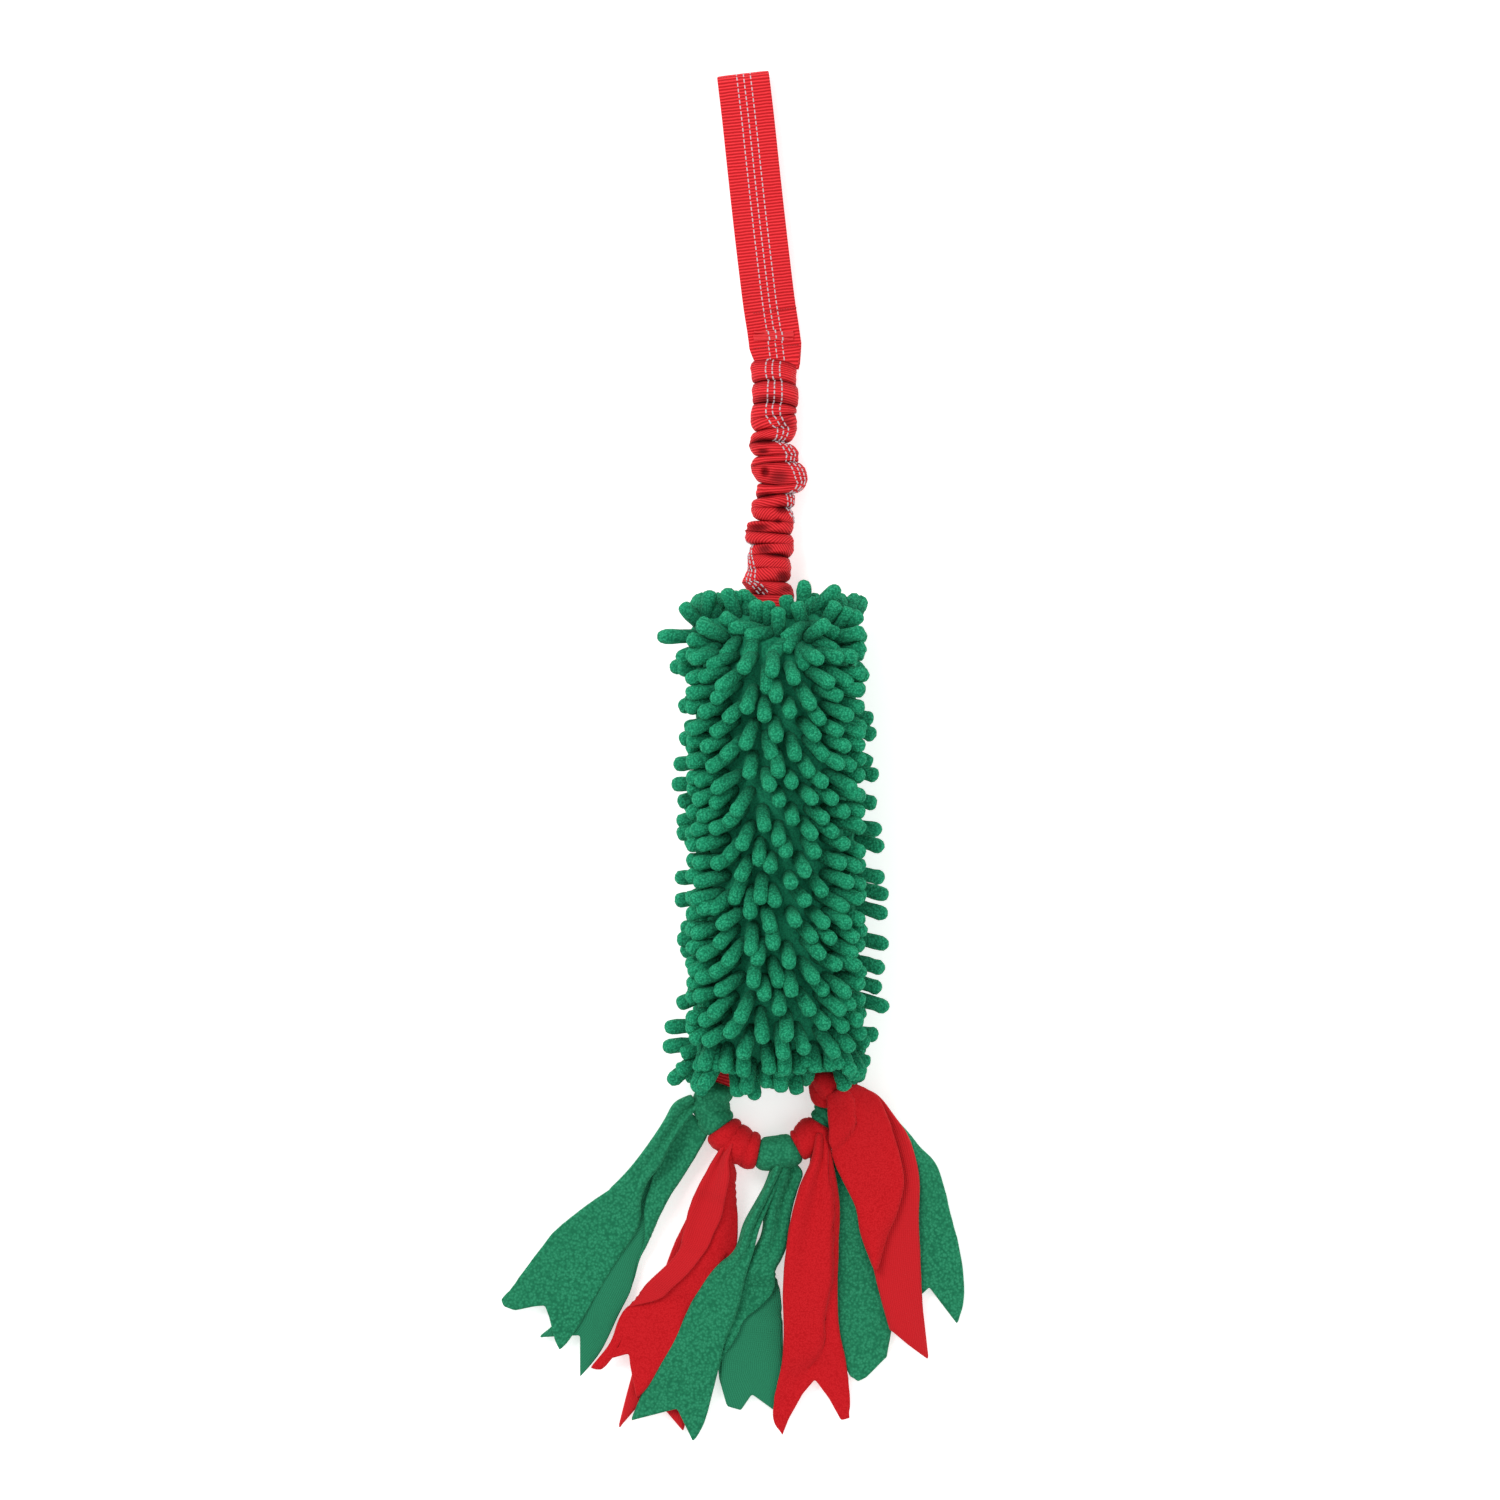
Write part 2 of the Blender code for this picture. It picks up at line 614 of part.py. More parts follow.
def loop_points():
    """The loop's middle line: out of the hem, round the bend and back in."""
    left_x = AXIS_X - LOOP_LEG_LEFT
    right_x = AXIS_X + LOOP_LEG_RIGHT
    inside_y = BOTTOM_HEM_Y + LOOP_TUCK
    out_y = BOTTOM_HEM_Y - LOOP_LEG_OUT
    points = [Vector((left_x, inside_y, HEM_HEIGHT)), Vector((left_x, out_y, HEM_HEIGHT))]
    for step in range(LOOP_POINTS + 1):
        turn = mix(LOOP_START_ANGLE, math.pi - LOOP_START_ANGLE, step / LOOP_POINTS)
        points.append(Vector((LOOP_X - LOOP_SPREAD * math.cos(turn),
                              LOOP_Y - LOOP_DROP * math.sin(turn), KNOT_HEIGHT)))
    points += [Vector((right_x, out_y, HEM_HEIGHT)), Vector((right_x, inside_y, HEM_HEIGHT))]
    for _ in range(LOOP_EASE_ROUNDS):
        points = ease(points)
    return points


LOOP_LINE = loop_points()
LOOP_LENGTH = sum((end - start).length for start, end in zip(LOOP_LINE, LOOP_LINE[1:]))


def walk(distance):
    """The place at a distance along the tail loop."""
    for start, end in zip(LOOP_LINE, LOOP_LINE[1:]):
        step = (end - start).length
        if distance <= step:
            return start + (end - start) * (distance / step)
        distance -= step
    return LOOP_LINE[-1]


def loop_frame(distance):
    """The place on the tail loop, and the level direction to its left."""
    ahead = walk(min(LOOP_LENGTH, distance + HEADING_STEP))
    heading = ahead - walk(max(0, distance - HEADING_STEP))
    return walk(distance), UP.cross(Vector((heading.x, heading.y, 0))).normalized()


def loop_band(distance, clearance):
    place, side = loop_frame(distance)
    return ring(place, side, UP, LOOP_HALF_WIDTH + clearance, FLAT_HALF_THICKNESS + clearance,
                KNOT_SIDES, WEBBING_ROUNDNESS)


def tail_loop(origin):
    bm = bmesh.new()
    loft(bm, [loop_band(LOOP_LENGTH * step / LOOP_RINGS, 0) for step in range(LOOP_RINGS + 1)])
    add_piece("tail_loop", bm, "red_webbing", origin)


def knot_length(number):
    return KNOT_LENGTH * KNOTS[number - 1].length_share


def knot_radius(number):
    return KNOT_RADIUS * KNOTS[number - 1].radius_share


def knot_start(number):
    """Distance along the loop at which a knot begins."""
    before = sum(knot_length(earlier) for earlier in range(1, number))
    return KNOT_START + before + KNOT_SPACE * (number - 1)


def knot_lump(number, share):
    """A knot's radius at a share of its length, largest in the middle of each turn."""
    turn = abs(math.sin(math.pi * KNOTS[number - 1].wraps * share))
    return knot_radius(number) * mix(KNOT_WAIST_SHARE, 1, turn)


def knot_reach(number, share, height):
    """How far a knot bulges out sideways at a height above the surface."""
    lump = knot_lump(number, share)
    rise = min(1, abs(height - KNOT_HEIGHT) / lump) ** (1 / KNOT_ROUNDNESS)
    return lump * math.sqrt(1 - rise * rise) ** KNOT_ROUNDNESS


def knot(number, origin):
    """Fleece wrapped round the loop, drawn in between its turns."""
    bm = bmesh.new()
    outer = []
    inner = []
    for step in range(KNOT_RINGS):
        share = step / (KNOT_RINGS - 1)
        distance = knot_start(number) + knot_length(number) * share
        place, side = loop_frame(distance)
        lump = knot_lump(number, share)
        outer.append(ring(place, side, UP, lump, lump, KNOT_SIDES, KNOT_ROUNDNESS))
        inner.append(loop_band(distance, KNOT_CLEARANCE))
    tube(bm, outer, inner)
    add_piece(f"knot_{number}", bm, KNOTS[number - 1].colour, origin)


# The fleece tails

def level_way(degrees):
    """A level direction, turned from straight down the toy towards the right."""
    turn = math.radians(degrees)
    return Vector((math.sin(turn), -math.cos(turn), 0))


def tail_root(name):
    """The point on the knot's surface where a strip comes out."""
    strip = TAILS[name]
    root = walk(knot_start(strip.knot) + knot_length(strip.knot) * strip.place)
    root.z = 0
    if strip.layer is TOP:
        return root
    turned = math.sin(math.radians(strip.exit_side - strip.heading))
    corner = STRIP_WIDTH * max(strip.lefts[0] * turned, strip.rights[0] * turned)
    crest = strip.layer[0] + FLEECE_THICKNESS + FOLD_AT_ROOT
    clearance = TAIL_CLEARANCE + FLEECE_THICKNESS * strip.seat_share
    reach = knot_reach(strip.knot, strip.place, crest) + clearance + corner
    return root + level_way(strip.exit_side) * reach


def hinge_of(name):
    """A strip turns at its root: an upper one about its top edge, a lower one about its bottom."""
    root = tail_root(name)
    layer = TAILS[name].layer
    if layer is not UNDER:
        root.z = layer[0] + FLEECE_THICKNESS + FOLD_AT_ROOT
    return root


def tail_point(name, place, across):
    """A point on a strip's underside, from its root to its notched end."""
    strip = TAILS[name]
    way = level_way(strip.heading)
    left = Vector((way.y, -way.x, 0))
    edges = read_shares(strip.lefts, place), read_shares(strip.rights, place)
    along = place * STRIP_LENGTH * strip.length_share
    if place == 1:
        along -= NOTCH_DEPTH * (1 - abs(2 * across - 1))
    fold = mix(FOLD_AT_ROOT, FOLD_AT_TIP, place) * read_shares(FOLD_SHARES, across)
    height = mix(*strip.layer, place) + fold
    return tail_root(name) + way * along + left * mix(*edges, across) * STRIP_WIDTH + UP * height


def tail_sheet(bm, name, lift):
    """One side of a strip as rows of points, with the faces between them."""
    rows = len(TAILS[name].lefts)
    columns = len(FOLD_SHARES)
    grid = []
    for row in range(rows):
        grid.append(add_ring(bm, [tail_point(name, row / (rows - 1), column / (columns - 1))
                                  + UP * lift for column in range(columns)]))
    for row in range(rows - 1):
        for column in range(columns - 1):
            bm.faces.new((grid[row][column], grid[row + 1][column],
                          grid[row + 1][column + 1], grid[row][column + 1]))
    return grid


def rim(grid):
    """The points round a sheet's edge, in order."""
    down = [row[0] for row in grid]
    back = [row[-1] for row in reversed(grid)]
    return down + grid[-1][1:-1] + back + grid[0][-2:0:-1]


def tail(name):
    bm = bmesh.new()
    skin(bm, *[rim(tail_sheet(bm, name, lift)) for lift in (0, FLEECE_THICKNESS)])
    colour = KNOTS[TAILS[name].knot - 1].colour
    add_piece(name, bm, colour, hinge_of(name))


def build():
    clear_scene()
    chance = random.Random(NOODLE_SEED)
    swing = Vector((AXIS_X, TOP_HEM_Y, HEM_HEIGHT))
    for index in range(SLICES):
        cover_slice(index, chance)
    stuffing_core()
    spine_strap()
    top_hem()
    bottom_hem()
    tack_start = SLEEVE_START_Y - GAP
    tack("sleeve_lower_tack", tack_start, tack_start - TACK_LENGTH, HEM_HEIGHT, swing)
    bungee_sleeve(swing)
    bungee_elastic(swing)
    grip = SLEEVE_END_Y + GAP
    upper = Vector((AXIS_X, grip, FLAT_HALF_THICKNESS))
    tack("sleeve_upper_tack", grip, grip + TACK_LENGTH, FLAT_HALF_THICKNESS, upper)
    fold = Vector((AXIS_X, HANDLE_Y, 2 * WEBBING_THICKNESS))
    handle_strap(fold)
    handle_bar_tack(fold)
    loop_hinge = Vector((AXIS_X, BOTTOM_HEM_Y - LOOP_LEG_OUT, HEM_HEIGHT))
    tail_loop(loop_hinge)
    for number in range(1, len(KNOTS) + 1):
        knot(number, loop_hinge)
    for name in TAILS:
        tail(name)


build()
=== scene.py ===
# %% [markdown]
# # A bungee tug toy
# A dog's tug toy lies flat and is seen from straight above. It has a loop of ribbed webbing for
# the hand, a gathered webbing sleeve over an elastic, a stuffed body covered in chenille noodles,
# and a webbing ring with knotted fleece strips. The solids come from the CAD frame, and each
# cell below dresses one of them as cloth.

import bisect
import json
import math
import random
from collections import namedtuple

import bpy
import bmesh
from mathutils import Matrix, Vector, noise

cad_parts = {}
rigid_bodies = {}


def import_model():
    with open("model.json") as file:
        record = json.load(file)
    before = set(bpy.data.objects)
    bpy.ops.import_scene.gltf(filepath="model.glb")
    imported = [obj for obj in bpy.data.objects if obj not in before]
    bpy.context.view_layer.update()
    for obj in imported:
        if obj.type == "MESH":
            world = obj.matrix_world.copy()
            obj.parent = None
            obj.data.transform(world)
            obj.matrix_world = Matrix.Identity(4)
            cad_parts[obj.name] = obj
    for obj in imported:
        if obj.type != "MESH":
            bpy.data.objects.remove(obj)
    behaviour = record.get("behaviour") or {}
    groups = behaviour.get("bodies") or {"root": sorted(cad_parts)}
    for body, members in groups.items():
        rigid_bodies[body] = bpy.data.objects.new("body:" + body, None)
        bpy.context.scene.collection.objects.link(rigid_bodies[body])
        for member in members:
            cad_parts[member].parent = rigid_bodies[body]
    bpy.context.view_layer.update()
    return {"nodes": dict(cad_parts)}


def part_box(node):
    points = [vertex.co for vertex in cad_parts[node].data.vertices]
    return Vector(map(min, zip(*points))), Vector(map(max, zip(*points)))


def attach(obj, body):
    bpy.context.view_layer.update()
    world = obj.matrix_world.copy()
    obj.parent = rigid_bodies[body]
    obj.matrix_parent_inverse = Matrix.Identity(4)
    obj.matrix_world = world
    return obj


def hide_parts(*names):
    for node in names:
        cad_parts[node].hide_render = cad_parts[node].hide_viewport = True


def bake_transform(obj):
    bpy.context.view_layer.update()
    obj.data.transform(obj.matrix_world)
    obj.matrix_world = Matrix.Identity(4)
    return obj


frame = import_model()

# %% [markdown]
# ## From the picture to metres
# The webbing is 25 mm wide and 50.6 pixels across, so one pixel is 0.495 mm. The toy lies on the
# floor and is seen from straight above, so a place in the picture is a place on the floor.
# Lengths in the plan are therefore given as picture places, and heights in metres.

# %% Places in the plan
IMAGE_SIZE = 1500
PIXEL = 0.000495
MIDDLE_X, MIDDLE_Y = 731.5, 756.0
# The middle line of the body, the sleeve and the seam of the hand loop
AXIS_X = 0.0217


def spot(px, py, z=0.0):
    """A place in the picture as a point in metres."""
    return Vector(((px - MIDDLE_X) * PIXEL, (MIDDLE_Y - py) * PIXEL, z))


print("the whole picture spans", round(IMAGE_SIZE * PIXEL, 4), "m")

# %% [markdown]
# ## Camera, floor and light
# The picture is a flat lay from straight above. A long lens far away keeps the tall noodles from
# leaning outwards, as they would with a near camera. A large soft lamp from the upper left, a
# weaker one from the lower right and a bright sky give the thin, soft shade that the picture
# shows.

# %% Set the stage
CAMERA_HEIGHT = 5.0
SENSOR = 36.0
WHITE = (1, 1, 1, 1)


def add_object(name, data):
    """An object that holds the data, linked to the scene."""
    made = bpy.data.objects.new(name, data)
    bpy.context.collection.objects.link(made)
    return made


camera = add_object("overhead_camera", bpy.data.cameras.new("overhead_camera"))
camera.data.sensor_width = SENSOR
camera.data.lens = SENSOR * CAMERA_HEIGHT / (IMAGE_SIZE * PIXEL)
camera.data.clip_end = 50
camera.location = spot(IMAGE_SIZE / 2, IMAGE_SIZE / 2, CAMERA_HEIGHT)
bpy.context.scene.camera = camera
bpy.context.scene.view_settings.view_transform = "Standard"


def soft_lamp(name, place, size, power):
    """A square lamp that faces the middle of the toy."""
    lamp = add_object(name, bpy.data.lights.new(name, "AREA"))
    lamp.data.size = size
    lamp.data.energy = power
    lamp.location = place
    lamp.rotation_euler = (-Vector(place)).to_track_quat("-Z", "Y").to_euler()


soft_lamp("key_lamp", (-0.9, 0.9, 1.5), size=0.8, power=17)
soft_lamp("fill_lamp", (1.2, -0.6, 1.6), size=1.2, power=6)
sky = bpy.context.scene.world or bpy.data.worlds.new("studio")
bpy.context.scene.world = sky
sky.use_nodes = True
sky_light = sky.node_tree.nodes["Background"].inputs
sky_light["Color"].default_value = WHITE
sky_light["Strength"].default_value = 0.75
print("lens:", round(camera.data.lens), "mm, sky:", sky_light["Strength"].default_value)

# %% [markdown]
# ## Materials
# Every cloth gets its detail from nodes, because the picture shows weave and pile at a scale of
# about a millimetre. Webbing reads a UV map in metres, u across the band and v along it, so its
# ribs follow the cloth round each fold. Pile has no direction, so it reads Object coordinates.

# %% Helpers for colours and nodes


def screen_colour(red, green, blue):
    """A screen colour of 0 to 255 as the linear colour that a shader takes."""
    shares = [channel / 255 for channel in (red, green, blue)]
    return [s / 12.92 if s <= 0.04045 else ((s + 0.055) / 1.055) ** 2.4 for s in shares] + [1]


def add_node(tree, kind, inputs=(), **settings):
    """A node, with its settings and what goes into its sockets: a value or a link."""
    node = tree.nodes.new(kind)
    for key, value in settings.items():
        setattr(node, key, value)
    for label, value in dict(inputs).items():
        if isinstance(value, bpy.types.NodeSocket):
            tree.links.new(value, node.inputs[label])
        else:
            node.inputs[label].default_value = value
    return node


print("a screen grey of 128 in linear light:", round(screen_colour(128, 128, 128)[0], 3))

# %% A cloth's nodes


class Cloth:
    """A material under construction: its node tree, its shader and short ways to add nodes."""

    def __init__(self, name, **shader_values):
        self.material = bpy.data.materials.new(name)
        self.material.use_nodes = True
        self.tree = self.material.node_tree
        self.shader = self.tree.nodes["Principled BSDF"]
        for label, value in shader_values.items():
            self.shader.inputs[label.replace("_", " ")].default_value = value
        self.coordinates = self.tree.nodes.new("ShaderNodeTexCoord")

    def add(self, kind, inputs=(), **settings):
        return add_node(self.tree, kind, inputs, **settings)

    def math(self, operation, *values):
        return self.add("ShaderNodeMath", enumerate(values), operation=operation).outputs[0]

    def weave(self):
        """Metres across the cloth and along it, from its UV map."""
        uv = self.add("ShaderNodeUVMap", uv_map="weave").outputs[0]
        return self.add("ShaderNodeSeparateXYZ", {0: uv}).outputs[:2]

    def waves(self, value, spacing):
        return self.math("SINE", self.math("MULTIPLY", value, math.tau / spacing))

    def noise(self, scale, detail=2.0, roughness=0.5):
        return self.add("ShaderNodeTexNoise", {
            "Scale": scale, "Detail": detail, "Roughness": roughness,
            "Vector": self.coordinates.outputs["Object"]}).outputs["Fac"]

    def mask(self, name):
        """A value that the mesh carries at its points."""
        return self.add("ShaderNodeAttribute", attribute_name=name).outputs["Fac"]

    def ramp(self, value, stops):
        node = self.add("ShaderNodeValToRGB", {"Fac": value})
        bar = node.color_ramp
        while len(bar.elements) < len(stops):
            bar.elements.new(0.5)
        for element, (place, colour) in zip(bar.elements, stops):
            element.position = place
            element.color = colour
        return node.outputs["Color"]

    def blend(self, share, first, second, blend_type="MIX"):
        return self.add("ShaderNodeMix", {"Factor": share, 6: first, 7: second},
                        data_type="RGBA", blend_type=blend_type).outputs[2]

    def finish(self, colour, height, distance, strength=1.0):
        """Paint the cloth and give it the height as bump."""
        self.tree.links.new(colour, self.shader.inputs["Base Color"])
        bump = self.add("ShaderNodeBump", {"Distance": distance, "Strength": strength,
                                           "Height": height})
        self.tree.links.new(bump.outputs["Normal"], self.shader.inputs["Normal"])
        return self.material


print("what a cloth can do:", ", ".join(way for way in vars(Cloth) if way[0] != "_"))


# %% [markdown]
# ### Grosgrain webbing
# Grosgrain has thick crosswise ribs with fine warp threads between them. A sine of v makes the
# ribs, one every 1.54 mm, and a sine of u makes the warp threads, shallower and finer. The ribs
# drive colour as well as bump: painted shade darkens the grooves and a painted highlight lights
# the crests. Where webbing is gathered, little light reaches the bottom of each fold, so a value
# of painted shade at the mesh's points darkens it.

# %% Red webbing
RIB_SPACING, RIB_DEPTH, RIB_WANDER = 0.00154, 0.00035, 0.35
THREAD_SPACING, THREAD_SHARE = 0.00055, 0.18


def make_webbing():
    cloth = Cloth("red_webbing", Roughness=0.65, Specular_IOR_Level=0.2)
    across, along = cloth.weave()
    along = cloth.math("MULTIPLY_ADD", cloth.noise(260), RIB_SPACING * RIB_WANDER, along)
    ribs = cloth.math("MULTIPLY_ADD", cloth.waves(along, RIB_SPACING), 0.5, 0.5)
    threads = cloth.math("MULTIPLY_ADD", cloth.waves(across, THREAD_SPACING), 0.5, 0.5)
    height = cloth.math("MULTIPLY_ADD", threads, THREAD_SHARE, ribs)
    # Painted shade in the rib grooves and a painted highlight on the crests
    colour = cloth.ramp(ribs, [(0.0, screen_colour(164, 4, 14)), (0.4, screen_colour(216, 22, 32)),
                               (1.0, screen_colour(250, 58, 66))])
    patchy = cloth.math("MULTIPLY", cloth.noise(45, 3), 0.3)
    colour = cloth.blend(patchy, colour, screen_colour(210, 18, 28))
    # Painted shade: the bottoms of the sleeve's folds and pockets are darkened towards a deep red
    shade_share = cloth.math("MULTIPLY", cloth.mask("painted_shade"), 0.85)
    colour = cloth.blend(shade_share, colour, screen_colour(104, 0, 8))
    return cloth.finish(colour, height, RIB_DEPTH, 0.8)


WEBBING = make_webbing()
print("ribs to a centimetre:", round(0.01 / RIB_SPACING, 1))

# %% [markdown]
# ### Chenille
# A chenille noodle is a cord of cut pile, so it looks like damp moss: small tufts with dark gaps
# between them. Smooth cells make the tufts, with painted shade in the gaps, finer noise breaks
# them up, and sheen lightens the edge of each noodle as fine fibres do. Where the noodles lie
# over one another, painted shade darkens their roots.

# %% Green chenille


def make_pile(name, colours, tuft, depth, sheen, tint, root_shade=None):
    """Cut pile: tufts as cells, painted shade between them and at the roots, and a soft light edge.
    """
    cloth = Cloth(name, Roughness=0.95, Sheen_Weight=sheen, Sheen_Roughness=0.45,
                  Sheen_Tint=screen_colour(*tint), Specular_IOR_Level=0.15)
    dark, middle, light = (screen_colour(*colour) for colour in colours)
    tufts = cloth.add("ShaderNodeTexVoronoi", {
        "Scale": 1 / tuft, "Smoothness": 0.6,
        "Vector": cloth.coordinates.outputs["Object"]}, feature="SMOOTH_F1").outputs["Distance"]
    fine = cloth.noise(2.2 / tuft, 3, 0.6)
    height = cloth.math("MULTIPLY_ADD", fine, 0.7, cloth.math("MULTIPLY", tufts, -1.0))
    # Painted shade: the gaps between tufts darker, the tufts' tops lighter
    shade = cloth.math("ADD", height, 0.62)
    colour = cloth.ramp(shade, [(0.25, dark), (0.5, middle), (0.8, light)])
    colour = cloth.blend(cloth.math("MULTIPLY", cloth.noise(30), 0.35), colour, middle)
    # Painted shade at the roots, lighter towards the tips
    if root_shade:
        shares = cloth.ramp(cloth.mask("reach"), [(0.0, root_shade), (0.85, WHITE)])
        colour = cloth.blend(1.0, colour, shares, "MULTIPLY")
    return cloth.finish(colour, height, depth)


CHENILLE_EDGE = (80, 205, 150)
CHENILLE = make_pile("green_chenille", [(14, 112, 78), (28, 146, 104), (56, 184, 136)],
                     tuft=0.0010, depth=0.0006, sheen=0.2, tint=CHENILLE_EDGE,
                     root_shade=(0.2, 0.26, 0.26, 1))
CHENILLE_BASE = make_pile("green_base_cloth", [(16, 100, 72), (24, 122, 87), (32, 138, 100)],
                          tuft=0.0008, depth=0.0001, sheen=0.2, tint=CHENILLE_EDGE)
print("pile:", CHENILLE.name, "and", CHENILLE_BASE.name)

# %% [markdown]
# ### Fleece
# The strips are anti-pill fleece: pebbled nap on one side and a smooth fine knit on the other.
# The nap is the same pile as the chenille with flatter tufts. The knit side reads the UV map,
# with one fine rib for each column of loops.

# %% Green and red fleece
GREEN_EDGE, RED_EDGE = (100, 215, 160), (255, 120, 120)
GREEN_NAP = make_pile("green_fleece", [(22, 104, 72), (33, 124, 87), (50, 146, 107)],
                      tuft=0.0013, depth=0.0003, sheen=0.35, tint=GREEN_EDGE)
RED_NAP = make_pile("red_fleece", [(180, 14, 22), (194, 22, 30), (204, 32, 38)],
                    tuft=0.0007, depth=0.0001, sheen=0.35, tint=RED_EDGE)
WALE_SPACING, WALE_DEPTH = 0.0010, 0.00008


def make_knit(name, dark, light, sheen, tint):
    """The smooth side of the fleece: fine columns of loops."""
    cloth = Cloth(name, Roughness=0.9, Sheen_Weight=sheen, Sheen_Roughness=0.5,
                  Sheen_Tint=screen_colour(*tint), Specular_IOR_Level=0.2)
    wales, loops = (cloth.waves(value, WALE_SPACING) for value in cloth.weave())
    height = cloth.math("MULTIPLY_ADD", loops, 0.35, wales)
    height = cloth.math("ADD", height, cloth.noise(1500))
    shade = cloth.math("MULTIPLY_ADD", height, 0.25, 0.4)
    colour = cloth.ramp(shade, [(0.1, screen_colour(*dark)), (0.9, screen_colour(*light))])
    return cloth.finish(colour, height, WALE_DEPTH, 0.8)


GREEN_KNIT = make_knit("green_fleece_back", (26, 108, 76), (42, 134, 97), 0.25, GREEN_EDGE)
RED_KNIT = make_knit("red_fleece_back", (188, 18, 26), (202, 30, 38), 0.3, RED_EDGE)
print("fleece:", GREEN_NAP.name, GREEN_KNIT.name, RED_NAP.name, RED_KNIT.name)

# %% [markdown]
# ### Threads, elastic and floor
# What is left has no pattern of its own: threads, the elastic and the floor. One fine noise
# roughens the threads, and the floor glows a little, because the picture's ground is almost white.

# %% Plain finishes


def make_plain(name, colour, grain=2500):
    """A fine rough finish, a little darker in its hollows."""
    cloth = Cloth(name, Roughness=0.6)
    rough = cloth.noise(grain, 3)
    light = screen_colour(*colour)
    dark = [channel * 0.82 for channel in light[:3]] + [1]
    return cloth.finish(cloth.blend(rough, dark, light), rough, 0.0001)


TRACER = make_plain("grey_tracer_thread", (206, 194, 200))
RED_THREAD = make_plain("red_thread", (232, 40, 48))
SEAM_THREAD = make_plain("seam_thread", (176, 12, 22))
ELASTIC = make_plain("black_elastic", (38, 38, 40), 1500)
FLOOR = Cloth("pale_floor", Roughness=0.9, Base_Color=(0.85, 0.85, 0.85, 1),
              Emission_Color=WHITE, Emission_Strength=0.5).material

FLOOR_REACH, FLOOR_Z = 6, -0.0004
floor = add_object("floor", bpy.data.meshes.new("floor"))
floor.data.from_pydata([(FLOOR_REACH * x, FLOOR_REACH * y, 0)
                        for x, y in ((-1, -1), (1, -1), (1, 1), (-1, 1))], [], [(0, 1, 2, 3)])
floor.data.materials.append(FLOOR)
floor.location.z = FLOOR_Z
print("floor:", 2 * FLOOR_REACH, "m wide")

# %% [markdown]
# ## Ways to draw cloth
# Nearly every piece here is a row of rings or lines that follows a path. So a few helpers come
# first: reading a table of measures, finding a place along a line, and joining rings with faces.

# %% Helpers for tables and lines


def mix(low, high, share):
    return low + (high - low) * share


def smooth(share):
    """An eased step from 0 to 1."""
    share = min(1.0, max(0.0, share))
    return share * share * (3 - 2 * share)


def running_lengths(points):
    """How far along a row of points each one lies."""
    lengths = [0.0]
    for start, end in zip(points, points[1:]):
        lengths.append(lengths[-1] + (end - start).length)
    return lengths


def find_step(places, place):
    """Which step of a rising row holds a place, and how far into the step it is."""
    index = min(max(bisect.bisect_right(places, place) - 1, 0), len(places) - 2)
    return index, (place - places[index]) / max(1e-9, places[index + 1] - places[index])


def read_table(rows, place):
    """Read a table of (place, value, value ...) rows at a place, with straight steps between."""
    index, share = find_step([row[0] for row in rows], place)
    share = min(1.0, max(0.0, share))
    return [mix(a, b, share) for a, b in zip(rows[index][1:], rows[index + 1][1:])]


def curve_through(points, share):
    """A point on a rounded line through a row of points, at a share of its length."""
    lengths = running_lengths(points)
    index, t = find_step(lengths, share * lengths[-1])
    p1, p2 = points[index], points[index + 1]
    p0 = points[index - 1] if index else p1 * 2 - p2
    p3 = points[index + 2] if index + 2 < len(points) else p2 * 2 - p1
    return 0.5 * (p1 * 2 + (p2 - p0) * t + (p0 * 2 - p1 * 5 + p2 * 4 - p3) * t ** 2
                  + (p1 * 3 - p0 - p2 * 3 + p3) * t ** 3)


print("halfway up an eased step:", smooth(0.5))

# %% Helpers for meshes


def add_mesh(name, points, faces, material, uvs=None):
    """A mesh at the origin, with a UV for each point in the map that the weave reads."""
    mesh = bpy.data.meshes.new(name)
    mesh.from_pydata([tuple(p) for p in points], [], faces)
    mesh.materials.append(material)
    if uvs:
        layer = mesh.uv_layers.new(name="weave")
        for loop in mesh.loops:
            layer.data[loop.index].uv = uvs[loop.vertex_index]
    mesh.polygons.foreach_set("use_smooth", [True] * len(mesh.polygons))
    mesh.update()
    return add_object(name, mesh)


def bake(piece):
    """Turn a piece with modifiers into a plain mesh of the same name."""
    bpy.context.view_layer.update()
    graph = bpy.context.evaluated_depsgraph_get()
    mesh = bpy.data.meshes.new_from_object(piece.evaluated_get(graph), depsgraph=graph)
    piece.modifiers.clear()
    piece.data = mesh
    return piece


def face_out(piece):
    """Point every face outwards."""
    bm = bmesh.new()
    bm.from_mesh(piece.data)
    bmesh.ops.recalc_face_normals(bm, faces=bm.faces)
    if bm.calc_volume(signed=True) < 0:
        bmesh.ops.reverse_faces(bm, faces=bm.faces)
    bm.to_mesh(piece.data)
    bm.free()
    return piece


print("meshes before the first piece:", len(bpy.data.meshes))

# %% Faces over rows of points


def grid_faces(rows, columns, closed=False):
    """Quads over a grid of points, closed round each row if it is a tube."""
    faces = []
    for row in range(rows - 1):
        for column in range(columns if closed else columns - 1):
            after = (column + 1) % columns
            faces.append((row * columns + column, row * columns + after,
                          (row + 1) * columns + after, (row + 1) * columns + column))
    return faces


def tube_faces(rows, columns):
    """Quads round a tube and one flat face over each end."""
    last = (rows - 1) * columns
    return grid_faces(rows, columns, closed=True) + [
        tuple(range(first, first + columns)) for first in (0, last)]


def fan_faces(row, columns, hub):
    """Triangles from one ring of a tube to a point in its middle."""
    return [(row * columns + c, row * columns + (c + 1) % columns, hub) for c in range(columns)]


print("faces of a tube of two rings of three points:", len(tube_faces(2, 3)))

